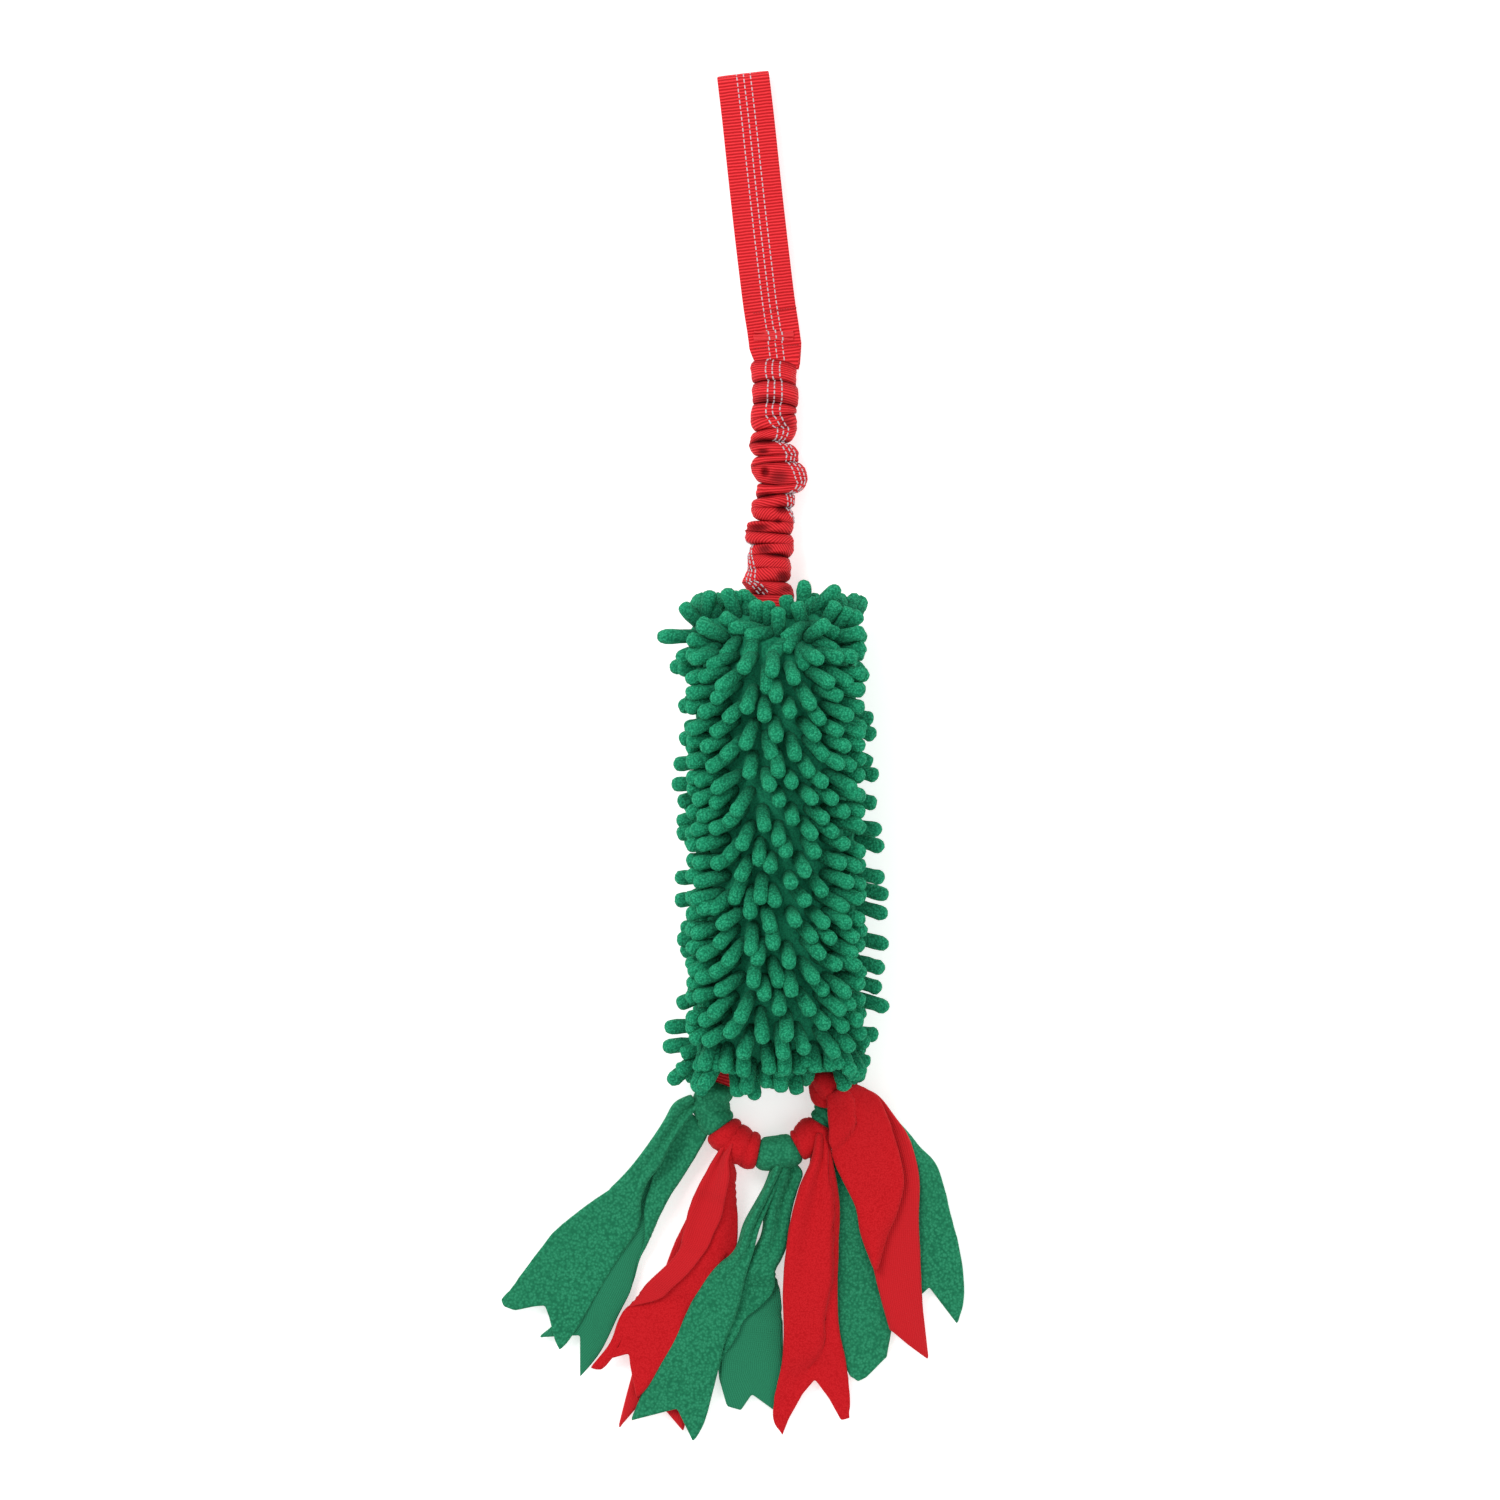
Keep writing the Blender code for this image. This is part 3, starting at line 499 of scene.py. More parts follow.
# %% [markdown]
# ## The hand loop
# The loop is one length of 25 mm webbing, folded at the top and sewn to itself at the bottom.
# It could be two boxes, but webbing lies in slow bends and has soft, woven edges. So its middle
# line is read from the picture as a few points, and one flat rounded section follows it up,
# round the fold and back down.

# %% A flat band that follows a path
BAND_HALF_WIDTH = 0.0129
BAND_THICKNESS = 0.0015
BAND_SIDES = 20
# Below 1, a power draws a round section out towards a box
BAND_SQUARENESS = 0.35
UP = Vector((0, 0, 1))


def squared(value, power):
    """A sine or cosine raised to a power, with its sign kept."""
    return math.copysign(abs(value) ** power, value)


def band_section(centre, side, up, half_width, thickness):
    """The webbing's section, flat with rounded edges, as points and their places across it."""
    points, across = [], []
    for index in range(BAND_SIDES):
        turn = math.tau * index / BAND_SIDES
        x = squared(math.cos(turn), BAND_SQUARENESS)
        y = squared(math.sin(turn), BAND_SQUARENESS)
        points.append(centre + side * (half_width * x) + up * (thickness / 2 * y))
        across.append(half_width * x)
    return points, across


def band(name, stations, material):
    """A band through stations of (centre, side, up, half width, thickness)."""
    points, uvs = [], []
    for station, along in zip(stations, running_lengths([row[0] for row in stations])):
        ring, across = band_section(*station)
        points += ring
        uvs += [(x, along) for x in across]
    return face_out(add_mesh(name, points, tube_faces(len(stations), BAND_SIDES), material, uvs))


print("webbing:", BAND_HALF_WIDTH * 2, "m wide and", BAND_THICKNESS, "m thick")

# %% The loop's path
HANDLE_LINE = [(777, 369), (777, 361), (775.3, 347), (773.2, 330), (768.6, 300), (761.3, 240),
               (754.6, 180), (748.2, 120), (744, 84.5)]
# Share of the strap's length and its half width there, for it is drawn in where it is sewn
STRAP_WIDTHS = [(0, 0.0099), (0.03, 0.0110), (0.08, BAND_HALF_WIDTH), (1, BAND_HALF_WIDTH)]
HANDLE_OPEN = 0.007
SEAM_TOP = 0.19
RISE_SHARE = 0.33
# How far the lower layer shows beside the upper one at the seam, and over what share it does
PEEK, PEEK_SHARE = 0.0008, 0.12
LAYER_GAP = 0.0001
RIPPLE, RIPPLE_TURNS = 0.0003, 21
STRAP_ROWS, FOLD_ROWS = 110, 14
handle_points = [spot(x, y) for x, y in HANDLE_LINE]


def handle_frame(share):
    """The middle of the strap, its direction and the way across it, from the seam upwards."""
    here, ahead, behind = (curve_through(handle_points, place)
                           for place in (share, min(1, share + 0.01), max(0, share - 0.01)))
    way = (ahead - behind).normalized()
    return here, way, Vector((way.y, -way.x, 0))


def handle_lift(share):
    """Height of the upper layer's middle: on the lower one at the seam, then a finger's room."""
    opening = smooth((share - SEAM_TOP / 2) / RISE_SHARE) * HANDLE_OPEN
    ripple = RIPPLE * math.sin(share * RIPPLE_TURNS) * smooth((share - SEAM_TOP) * 6)
    return BAND_THICKNESS * 1.5 + LAYER_GAP + opening + ripple


def strap_station(share, upper):
    """One station of the lower or the upper layer."""
    here, _, across = handle_frame(share)
    if upper:
        centre = here + UP * handle_lift(share)
    else:
        peek = across * (PEEK * (1 - smooth(share / PEEK_SHARE)))
        centre = here + peek + UP * (BAND_THICKNESS / 2)
    return centre, across, -UP if upper else UP, read_table(STRAP_WIDTHS, share)[0], BAND_THICKNESS


print("loop from seam to fold, m:", round((handle_points[-1] - handle_points[0]).length, 4))

# %% The loop's band


def handle_stations():
    """Up the lower layer, round the fold and back down the upper layer."""
    shares = [row / STRAP_ROWS for row in range(STRAP_ROWS + 1)]
    stations = [strap_station(share, upper=False) for share in shares]
    top, way, side = handle_frame(1.0)
    half = (handle_lift(1.0) - BAND_THICKNESS / 2) / 2
    for step in range(1, FOLD_ROWS):
        turn = math.pi * step / FOLD_ROWS
        out = way * (half * math.sin(turn))
        centre = top + out + UP * (BAND_THICKNESS / 2 + half - half * math.cos(turn))
        up = (way * -math.sin(turn) + UP * math.cos(turn)).normalized()
        stations.append((centre, side, up, BAND_HALF_WIDTH, BAND_THICKNESS))
    return stations + [strap_station(share, upper=True) for share in reversed(shares)]


handle_rows = handle_stations()
hand_loop = band("hand_loop", handle_rows, WEBBING)
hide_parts("handle_strap")
print("hand loop faces:", len(hand_loop.data.polygons))

# %% [markdown]
# ## Tracer threads
# Three grey threads are woven along the middle of the webbing. They show as dashes, because each
# thread dives under the ribs between them. One Geometry Nodes tree sweeps a small circle along a
# set of short lines. It makes the dashes of the hand loop and the sleeve, and later the stitches.

# %% Helpers for trees


def socket_of(tree, name):
    return next(item.identifier for item in tree.interface.items_tree if item.name == name)


def new_tree(name, numbers):
    """A geometry tree with named numbers and a material as inputs, and its first node."""
    tree = bpy.data.node_groups.new(name, "GeometryNodeTree")
    inputs = [("Geometry", "NodeSocketGeometry")]
    inputs += [(label, "NodeSocketFloat") for label in numbers]
    for label, kind in inputs + [("Material", "NodeSocketMaterial")]:
        tree.interface.new_socket(label, in_out="INPUT", socket_type=kind)
    tree.interface.new_socket("Geometry", in_out="OUTPUT", socket_type="NodeSocketGeometry")
    return tree, tree.nodes.new("NodeGroupInput")


def swept_circle(tree, start, sides, radius, scale=1.0):
    """A tree's incoming lines as round cords with closed ends."""
    lines = add_node(tree, "GeometryNodeMeshToCurve", {"Mesh": start.outputs["Geometry"]})
    circle = add_node(tree, "GeometryNodeCurvePrimitiveCircle",
                      {"Resolution": sides, "Radius": radius})
    return add_node(tree, "GeometryNodeCurveToMesh", {
        "Curve": lines.outputs["Curve"], "Profile Curve": circle.outputs["Curve"],
        "Scale": scale, "Fill Caps": True}).outputs["Mesh"]


def end_tree(tree, start, cords):
    """Smooth shading, real geometry and the material, at the end of every tree here."""
    for kind in ("GeometryNodeSetShadeSmooth", "GeometryNodeRealizeInstances"):
        cords = add_node(tree, kind, {"Geometry": cords}).outputs["Geometry"]
    painted = add_node(tree, "GeometryNodeSetMaterial", {
        "Geometry": cords, "Material": start.outputs["Material"]})
    add_node(tree, "NodeGroupOutput", {"Geometry": painted.outputs["Geometry"]})
    return tree


print("node trees so far:", len(bpy.data.node_groups))

# %% A tree that turns lines into dashes


def dash_tree():
    tree, start = new_tree("dashes_from_lines", ["Dash Width"])
    half = add_node(tree, "ShaderNodeMath", {0: start.outputs["Dash Width"], 1: 0.5},
                    operation="MULTIPLY")
    return end_tree(tree, start, swept_circle(tree, start, 6, half.outputs[0]))


DASH_TREE = dash_tree()


def line_mesh(name, lines):
    """A mesh of separate lines, one for each row of points."""
    points, edges = [], []
    for line in lines:
        first = len(points)
        points += [tuple(p) for p in line]
        edges += [(first + i, first + i + 1) for i in range(len(line) - 1)]
    mesh = bpy.data.meshes.new(name)
    mesh.from_pydata(points, edges, [])
    return add_object(name, mesh)


def dress(piece, tree, values):
    """Give a piece a tree, set the tree's inputs, and turn the result into a plain mesh."""
    modifier = piece.modifiers.new(tree.name, "NODES")
    modifier.node_group = tree
    for label, value in values.items():
        modifier[socket_of(tree, label)] = value
    return bake(piece)


print("nodes in", DASH_TREE.name + ":", len(DASH_TREE.nodes))

# %% Tracer threads on the hand loop
TRACER_PLACES = (-0.0032, 0.0002, 0.0036)
DASH_PERIOD = 0.0028
DASH_LENGTH = 0.0018
DASH_WIDTH = 0.00075


def strap_lines(stations, above):
    """Dashes along a band, just proud of the side that its up vector leaves."""
    lengths = running_lengths([row[0] for row in stations])

    def place(distance, across):
        index, share = find_step(lengths, distance)
        low, high = stations[index], stations[index + 1]
        point = low[0].lerp(high[0], share) + low[1].lerp(high[1], share) * across
        return point - low[2].lerp(high[2], share).normalized() * above

    lines = []
    for number, across in enumerate(TRACER_PLACES):
        at = DASH_PERIOD * (0.5 + 0.5 * (number % 2))
        while at + DASH_LENGTH < lengths[-1]:
            lines.append([place(at + DASH_LENGTH * step / 3, across) for step in range(4)])
            at += DASH_PERIOD
    return lines


DASH_SINK = 0.00018
dash_values = {"Dash Width": DASH_WIDTH, "Material": TRACER}
dash_lines = strap_lines(handle_rows, BAND_THICKNESS / 2 - DASH_SINK)
loop_dashes = dress(line_mesh("hand_loop_tracers", dash_lines), DASH_TREE, dash_values)
# The loop folds over at its seam.
for piece, slot in ((hand_loop, "red_webbing"), (loop_dashes, "thread")):
    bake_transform(piece)
print("tracer faces:", len(loop_dashes.data.polygons))

# %% [markdown]
# ## The gathered sleeve
# The sleeve is webbing sewn into a tube, twice as long as the elastic inside it, so it crumples
# into puffs. Cloth simulation of a tight gather is slow and never lands where the real folds
# are. Instead each crease is read from the picture at its left and right end, and each puff is
# a round swelling between two creases, which may tilt. Down the sleeve the webbing twists, so
# the tracers wander off to the right and come back on the left.

# %% Creases and puffs
# Each crease: left end x and y, right end x and y, how far its middle bows up, and its depth at
# the left and right end. It is deep where the outline has a notch, and fades where the webbing
# turns back on itself.
CREASES = [(755, 361, 797, 366, 3.5, 1, 1), (756, 384, 796.5, 387, 4.5, 1, 0.9),
           (754, 405, 796, 408.5, 3, 1, 1), (750.5, 420, 793.5, 414.5, 0, 0, 1),
           (757, 432.5, 797, 429, 2, 1, 0), (749.5, 445, 784, 444, 3, 0.5, 1),
           (759, 457, 798.5, 455, 0, 1, 0), (751, 467, 797, 463, 2, 0.4, 1),
           (763.5, 483.5, 807.5, 480, -4, 1, 0), (757.5, 499.5, 791, 494.5, 2, 1, 1),
           (751, 508, 789.5, 508, 0, 0, 1), (760, 521, 793.5, 523, 0, 1, 0),
           (744, 531, 789, 535, 0, 0.7, 1), (756, 545, 793.5, 545, 1, 1, 0),
           (748, 557, 788, 558.5, 3, 0.2, 1), (747.5, 571, 791, 571, 3, 0.5, 0),
           (742, 583, 785, 583, 1, 0, 1), (750, 594, 794, 597, 0, 0.5, 0.3),
           (757, 621, 787, 622, 0, 1, 1)]
# Each puff: its left and right reach, where the middle tracer runs, and the slant of its ribs
PUFFS = [(750.5, 796.5, 93, 0), (752, 798.5, 92, 0), (751, 797, 94, 0), (752, 797, 84, 0.2),
         (751, 796, 68, 0.4), (750.5, 797, 56, 0), (751.5, 799, 52, 0), (752.5, 806, 48, -0.2),
         (756, 806, 44, 0), (752.5, 795.5, 40, -0.3), (752.5, 792.5, 20, 0.8),
         (746.5, 793, -60, -0.7), (745.5, 793, -165, 0.8), (749.5, 793, -195, -0.9),
         (747.5, 791, -210, 0.9), (744, 790.5, -225, -0.9), (743, 793, -245, -0.5),
         (752, 792, -262, 0)]
# Pockets are hollows that also get painted shade
# Each pocket: middle x and y, half width and half height in pixels, and its depth in metres
POCKETS = [(765, 473, 4, 4.5, 0.0045), (763, 452, 6, 2.5, 0.0030), (779, 478, 10, 6.5, 0.0020),
           (770, 400, 15, 3.5, 0.0016), (786, 424, 7, 5, 0.0018), (764, 442, 12, 3, 0.0022),
           (765, 496, 10, 3, 0.0020), (783, 510, 7, 4, 0.0024), (759, 528, 11, 3.5, 0.0034),
           (778, 522, 4, 2.5, 0.0016), (765, 550, 8, 4.5, 0.0022), (777, 556, 11, 2.5, 0.0018),
           (783, 578, 6, 4.5, 0.0030), (760, 592, 8, 5, 0.0022), (787, 590, 7, 4, 0.0018)]
print("creases:", len(CREASES), "puffs:", len(PUFFS), "pockets:", len(POCKETS))

# %% The sleeve's height and outline
SLEEVE_START_Y, SLEEVE_END_Y = 0.0665, 0.190
# Heights of the sleeve's middle: in the body's hem, along the floor and in the loop's seam
HEM_HEIGHT, SLEEVE_HEIGHT, SEAM_HEIGHT = 0.018, 0.0092, 0.0019


def sleeve_height(y):
    """The sleeve's middle comes down from the hem and lies along the floor."""
    share = (y - SLEEVE_START_Y) / (SLEEVE_END_Y - SLEEVE_START_Y)
    rest = mix(SEAM_HEIGHT, SLEEVE_HEIGHT, smooth((1.03 - share) / 0.13))
    return mix(HEM_HEIGHT, rest, smooth((share - 0.05) / 0.4))


def crease_at(crease, sideways):
    """How far down a crease is and how deep, at a share of the way across it."""
    _, left_y, _, right_y, bow, left_depth, right_depth = crease
    return (mix(left_y, right_y, sideways) - bow * 4 * sideways * (1 - sideways),
            mix(left_depth, right_depth, sideways))


def outline(upper, lower, column, reach, share, swell):
    """One side of the outline. It is round from a notch to the place where the webbing turns."""
    start, end = upper[column], lower[column]
    start_notched, end_notched = (crease[5 + column // 2] > 0.6 for crease in (upper, lower))
    if start_notched and end_notched:
        return mix(mix(start, end, share), reach, swell)
    if start_notched:
        return mix(start, end, math.sqrt(1 - (1 - share) ** 2))
    if end_notched:
        return mix(end, start, math.sqrt(1 - share ** 2))
    return mix(start, end, share)


print("sleeve's length, m:", round(SLEEVE_END_Y - SLEEVE_START_Y, 4))

# %% A point on the sleeve
PUFF_POWER, SHADE_POWER = 0.7, 1.05
SIDE_POWER, TOP_POWER = 0.85, 0.8
END_DEPTH, CREASE_DEPTH, PUFF_DEPTH = 0.0016, 0.0030, 0.0082
FLOOR_GAP = 0.0003
# Wrinkles to a metre: across, along and up
WRINKLES = (90, 330, 90)
POCKET_REACH = 5
POCKET_SHADE = 420


def sleeve_spot(place, turn):
    """A point on the sleeve and its painted shade there. Place counts puffs down from the seam."""
    index = min(max(int(place), 0), len(PUFFS) - 1)
    swing = math.pi * min(1.0, max(0.0, place - index))
    share = (1 - math.cos(swing)) / 2
    swell = max(0.0, math.sin(swing)) ** PUFF_POWER
    upper, lower = CREASES[index], CREASES[index + 1]
    left, right = PUFFS[index][:2]
    cosine, sine = math.cos(turn), math.sin(turn)
    sideways = (1 + cosine) / 2
    upper_y, upper_depth = crease_at(upper, sideways)
    lower_y, lower_depth = crease_at(lower, sideways)
    depth = mix(upper_depth, lower_depth, share)
    # Painted shade, darkest in deep creases, where little light reaches
    painted_shade = (1 - max(0.0, math.sin(swing)) ** SHADE_POWER) * depth
    y_pixel = mix(upper_y, lower_y, share)
    x_left = outline(upper, lower, 0, left, share, swell)
    x_right = outline(upper, lower, 2, right, share, swell)
    x = (x_left + x_right) / 2 + (x_right - x_left) / 2 * squared(cosine, SIDE_POWER)
    point = spot(x, y_pixel)
    ends = min(smooth(place / 0.8 + 0.12), smooth((len(PUFFS) - place) / 0.8 + 0.3))
    rise = mix(END_DEPTH, mix(PUFF_DEPTH, CREASE_DEPTH, (1 - swell) * depth), ends)
    if sine > 0:
        for middle_x, middle_y, half_width, half_height, depth in POCKETS:
            away = ((x - middle_x) / half_width) ** 2 + ((y_pixel - middle_y) / half_height) ** 2
            if away < POCKET_REACH:
                hollow = math.exp(-away ** 1.5)
                rise -= depth * hollow
                # Painted shade in the pocket's hollow
                painted_shade += hollow * min(1.0, depth * POCKET_SHADE)
    point.z = sleeve_height(point.y) + rise * squared(sine, TOP_POWER)
    probe = Vector([value * number for value, number in zip(point, WRINKLES)])
    wrinkle = 0.0005 * noise.noise(probe) + 0.0003 * noise.noise(probe * 2.3)
    point += Vector((cosine, 0, sine)) * wrinkle
    point.z = max(point.z, FLOOR_GAP)
    return point, min(1.0, painted_shade)


print("a puff's top is", round(sleeve_spot(4.5, math.pi / 2)[0].z, 4), "m above the floor")

# %% The sleeve's two halves
PUFF_ROWS, SLEEVE_COLUMNS = 13, 90
SLEEVE_RADIUS = 0.0135
# How much webbing has run by at each row, measured down the middle of the upper side
CLOTH_LENGTHS = running_lengths([sleeve_spot(row / PUFF_ROWS, math.pi / 2)[0]
                                 for row in range(len(PUFFS) * PUFF_ROWS + 1)])
TWISTS = [(index + 0.5, puff[2]) for index, puff in enumerate(PUFFS)]


def middle_turn(place):
    """Where the middle tracer runs round the sleeve, with even steps from puff to puff."""
    return math.radians(read_table(TWISTS, place)[0])


def sleeve_part(name, first, last):
    """A stretch of the sleeve between two places, counted in puffs."""
    rows = int(round((last - first) * PUFF_ROWS)) + 1
    points, uvs, painted_shades = [], [], []
    for row in range(rows):
        place = first + row / PUFF_ROWS
        centre_turn = middle_turn(place)
        slant = PUFFS[min(int(place), len(PUFFS) - 1)][3]
        along = CLOTH_LENGTHS[int(round(place * PUFF_ROWS))]
        for column in range(SLEEVE_COLUMNS):
            turn = math.tau * column / SLEEVE_COLUMNS
            point, painted_shade = sleeve_spot(place, turn)
            points.append(point)
            painted_shades.append(painted_shade)
            uvs.append(((turn - centre_turn) * SLEEVE_RADIUS,
                        along + slant * SLEEVE_RADIUS * math.cos(turn)))
    faces = grid_faces(rows, SLEEVE_COLUMNS, closed=True)
    for end in (0, rows - 1):
        middle = sum((points[end * SLEEVE_COLUMNS + c] for c in range(SLEEVE_COLUMNS)), Vector())
        points.append(middle / SLEEVE_COLUMNS)
        uvs.append((0, 0))
        painted_shades.append(1.0)
        faces += fan_faces(end, SLEEVE_COLUMNS, len(points) - 1)
    made = add_mesh(name, points, faces, WEBBING, uvs)
    made.data.attributes.new("painted_shade", "FLOAT", "POINT").data.foreach_set("value", painted_shades)
    return face_out(made)


SLEEVE_SPLIT = 9
sleeve_top = sleeve_part("sleeve_upper_half", 0, SLEEVE_SPLIT)
sleeve_bottom = sleeve_part("sleeve_lower_half", SLEEVE_SPLIT, len(PUFFS))
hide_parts("bungee_sleeve", "sleeve_upper_tack")
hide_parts("bungee_sleeve", "sleeve_lower_tack")
print("sleeve faces:", len(sleeve_top.data.polygons) + len(sleeve_bottom.data.polygons))

# %% Tracer threads on the sleeve


def sleeve_place(length):
    """The place, counted in puffs, where so much webbing has run by."""
    row, share = find_step(CLOTH_LENGTHS, length)
    return (row + share) / PUFF_ROWS


def sleeve_lines(first, last):
    """Dashes on the sleeve between two places, counted in puffs."""
    lines = []
    start, end = CLOTH_LENGTHS[first * PUFF_ROWS], CLOTH_LENGTHS[last * PUFF_ROWS]
    for number, across in enumerate(TRACER_PLACES):
        at = start + DASH_PERIOD * 0.3 * number
        while at + DASH_LENGTH < end:
            line = []
            for step in range(4):
                place = sleeve_place(at + DASH_LENGTH * step / 3)
                turn = middle_turn(place) - across / SLEEVE_RADIUS
                line.append(sleeve_spot(place, turn)[0])
            lines.append(line)
            at += DASH_PERIOD
    return lines


def bend_with_sleeve(piece):
    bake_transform(piece)


for piece, half, first, last in ((sleeve_top, "upper", 0, SLEEVE_SPLIT),
                                 (sleeve_bottom, "lower", SLEEVE_SPLIT, len(PUFFS) - 1)):
    tracers = line_mesh(f"sleeve_{half}_tracers", sleeve_lines(first, last))
    dress(tracers, DASH_TREE, dash_values)
    bend_with_sleeve(piece)
    bend_with_sleeve(tracers)
    print(half, "half of the sleeve, faces:", len(piece.data.polygons))

# %% [markdown]
# ## The elastic
# The elastic lies inside the sleeve and shows nowhere, but it has to bend where the sleeve bends.
# The solid is one stiff bar. Here it is a round cord in two halves that follow the solid's height.

# %% The elastic in the sleeve
ELASTIC_RADIUS = 0.0036
ELASTIC_SPLIT_Y = 0.12
ELASTIC_ROWS, ELASTIC_COLUMNS = 33, 12
elastic_low, elastic_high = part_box("bungee_elastic")
elastic_rings = {}
for vertex in frame["nodes"]["bungee_elastic"].data.vertices:
    elastic_rings.setdefault(round(vertex.co.y, 4), []).append(vertex.co.z)
elastic_rows = [(y, (min(heights) + max(heights)) / 2)
                for y, heights in sorted(elastic_rings.items())]
for half, start_y, end_y in (("upper", ELASTIC_SPLIT_Y, elastic_high[1]),
                             ("lower", elastic_low[1], ELASTIC_SPLIT_Y)):
    points = []
    for row in range(ELASTIC_ROWS):
        y = mix(start_y, end_y, row / (ELASTIC_ROWS - 1))
        height = read_table(elastic_rows, y)[0]
        for column in range(ELASTIC_COLUMNS):
            turn = math.tau * column / ELASTIC_COLUMNS
            points.append((AXIS_X + ELASTIC_RADIUS * math.cos(turn), y,
                           height + ELASTIC_RADIUS * math.sin(turn)))
    elastic = face_out(add_mesh(f"elastic_{half}_half", points,
                                tube_faces(ELASTIC_ROWS, ELASTIC_COLUMNS), ELASTIC))
    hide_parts("bungee_elastic")
    bend_with_sleeve(elastic)
print("elastic length:", round(elastic_high[1] - elastic_low[1], 4))

# %% [markdown]
# ## Stitches
# The loop's end is sewn down with a bar tack between two rows of stitches. Red thread on red
# webbing hardly shows. So a few threads laid side by side over the tack are enough, with a row of
# short sunk stitches before and after it.

# %% Stitches on the hand loop
TACK_WIDTH, SEAM_WIDTH = 0.0011, 0.0007
TACK_ROWS, TACK_STEPS = 3, 12
TACK_GAP, TACK_WANDER = 0.0001, 0.00012
# Where each dash that runs over the tack starts in the picture
TACK_DASHES = [(768.2, 331.5), (769.2, 337), (775.2, 330), (776, 335.5), (781.8, 332),
               (782.5, 337.5)]
SEAMS = [((750, 314), (797, 308)), ((753, 349), (799, 345))]
SEAM_STITCHES = 18


def strap_top(y):
    """Height of the loop's upper side at a place along it."""
    upper = [row for row in handle_rows if row[2].z < 0]
    nearest = min(upper, key=lambda row: abs(row[0].y - y))
    return nearest[0].z + BAND_THICKNESS / 2


frame["nodes"]["handle_bar_tack"].data.materials[0] = RED_THREAD
tack_low, tack_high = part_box("handle_bar_tack")
tack_top = tack_high[2] + TACK_GAP
tack_lines = []
for number in range(TACK_ROWS):
    y = mix(tack_low[1], tack_high[1], (number + 0.5) / TACK_ROWS)
    tack_lines.append([(mix(tack_low[0], tack_high[0], 0.02 + 0.96 * step / TACK_STEPS),
                        y + TACK_WANDER * math.sin(step * 2.1 + number), tack_top)
                       for step in range(TACK_STEPS + 1)])
over_lines = [[spot(x + 0.15 * step, y + 1.1 * step, tack_top + 0.0004) for step in range(4)]
              for x, y in TACK_DASHES]
seam_lines = []
for start, end in SEAMS:
    for number in range(SEAM_STITCHES):
        share = (number + 0.2) / SEAM_STITCHES
        stitch = [spot(mix(start[0], end[0], share + more), mix(start[1], end[1], share + more))
                  for more in (0, 0.016, 0.032)]
        for point in stitch:
            point.z = strap_top(point.y)
        seam_lines.append(stitch)
for name, lines, width, material in (("bar_tack_threads", tack_lines, TACK_WIDTH, RED_THREAD),
                                     ("bar_tack_tracers", over_lines, DASH_WIDTH, TRACER),
                                     ("seam_stitches", seam_lines, SEAM_WIDTH, SEAM_THREAD)):
    stitches = line_mesh(name, lines)
    dress(stitches, DASH_TREE, {"Dash Width": width, "Material": material})
    if material is SEAM_THREAD:
        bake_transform(stitches)
    else:
        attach(stitches, "handle")
    print(name, "stitches:", len(lines))

# %% [markdown]
# ## The stuffed body
# The body is a tube of base cloth with chenille noodles sewn on, filled and closed at both ends.
# The tube is an oval that flattens into its two sewn ends. It is drawn as rings first. Then the
# cloth solver swells it with a little pressure from inside, as the filling does, and a cap on how
# far a point may move keeps it inside the noodles.

# %% The tube under the noodles
TOP_HEM_Y, BOTTOM_HEM_Y = 0.0715, -0.1535
BODY_LENGTH = TOP_HEM_Y - BOTTOM_HEM_Y
BODY_HALF_WIDTH, BODY_HALF_DEPTH, BODY_HEIGHT = 0.037, 0.025, 0.034
END_HALF_WIDTH, END_HALF_DEPTH = 0.039, 0.0065
BODY_ROUNDNESS = 0.9
# The base cloth lies a little inside the surface that the noodles are sewn to
CLOTH_SINK = 0.001
BODY_ROWS, BODY_COLUMNS = 72, 56


def fullness(share):
    """How round the tube is: 0 at its two flat ends and nearly 1 between them."""
    return math.sqrt(max(0, 1 - abs(2 * share - 1) ** 6))


def body_spot(share, turn, proud=0.0):
    """A point of the tube: share runs down the body, turn goes round it from its right side."""
    full = fullness(share)
    width = mix(END_HALF_WIDTH, BODY_HALF_WIDTH, full) + proud
    depth = mix(END_HALF_DEPTH, BODY_HALF_DEPTH, full) + proud
    cosine, sine = math.cos(turn), math.sin(turn)
    return Vector((AXIS_X + width * squared(cosine, BODY_ROUNDNESS),
                   TOP_HEM_Y - share * BODY_LENGTH,
                   mix(HEM_HEIGHT, BODY_HEIGHT, full) + depth * squared(sine, BODY_ROUNDNESS)))


def body_tube():
    """The tube as rings that crowd towards the ends, where it turns in."""
    points = []
    for row in range(BODY_ROWS + 1):
        share = (1 - math.cos(math.pi * row / BODY_ROWS)) / 2
        points += [body_spot(share, math.tau * c / BODY_COLUMNS, -CLOTH_SINK)
                   for c in range(BODY_COLUMNS)]
    faces = grid_faces(BODY_ROWS + 1, BODY_COLUMNS, closed=True)
    for row, y in ((0, TOP_HEM_Y), (BODY_ROWS, BOTTOM_HEM_Y)):
        points.append(Vector((AXIS_X, y, HEM_HEIGHT)))
        faces += fan_faces(row, BODY_COLUMNS, len(points) - 1)
    return face_out(add_mesh("noodle_body", points, faces, CHENILLE_BASE))


print("body:", round(BODY_LENGTH, 4), "m long and", BODY_HALF_WIDTH * 2, "m wide")

# %% Fill the tube
FILL_VOXEL = 0.0045
FILL_PRESSURE = 4.0
FILL_STRETCH = -0.04
FILL_CAP = 0.0025
SIMULATED_FRAMES = 20


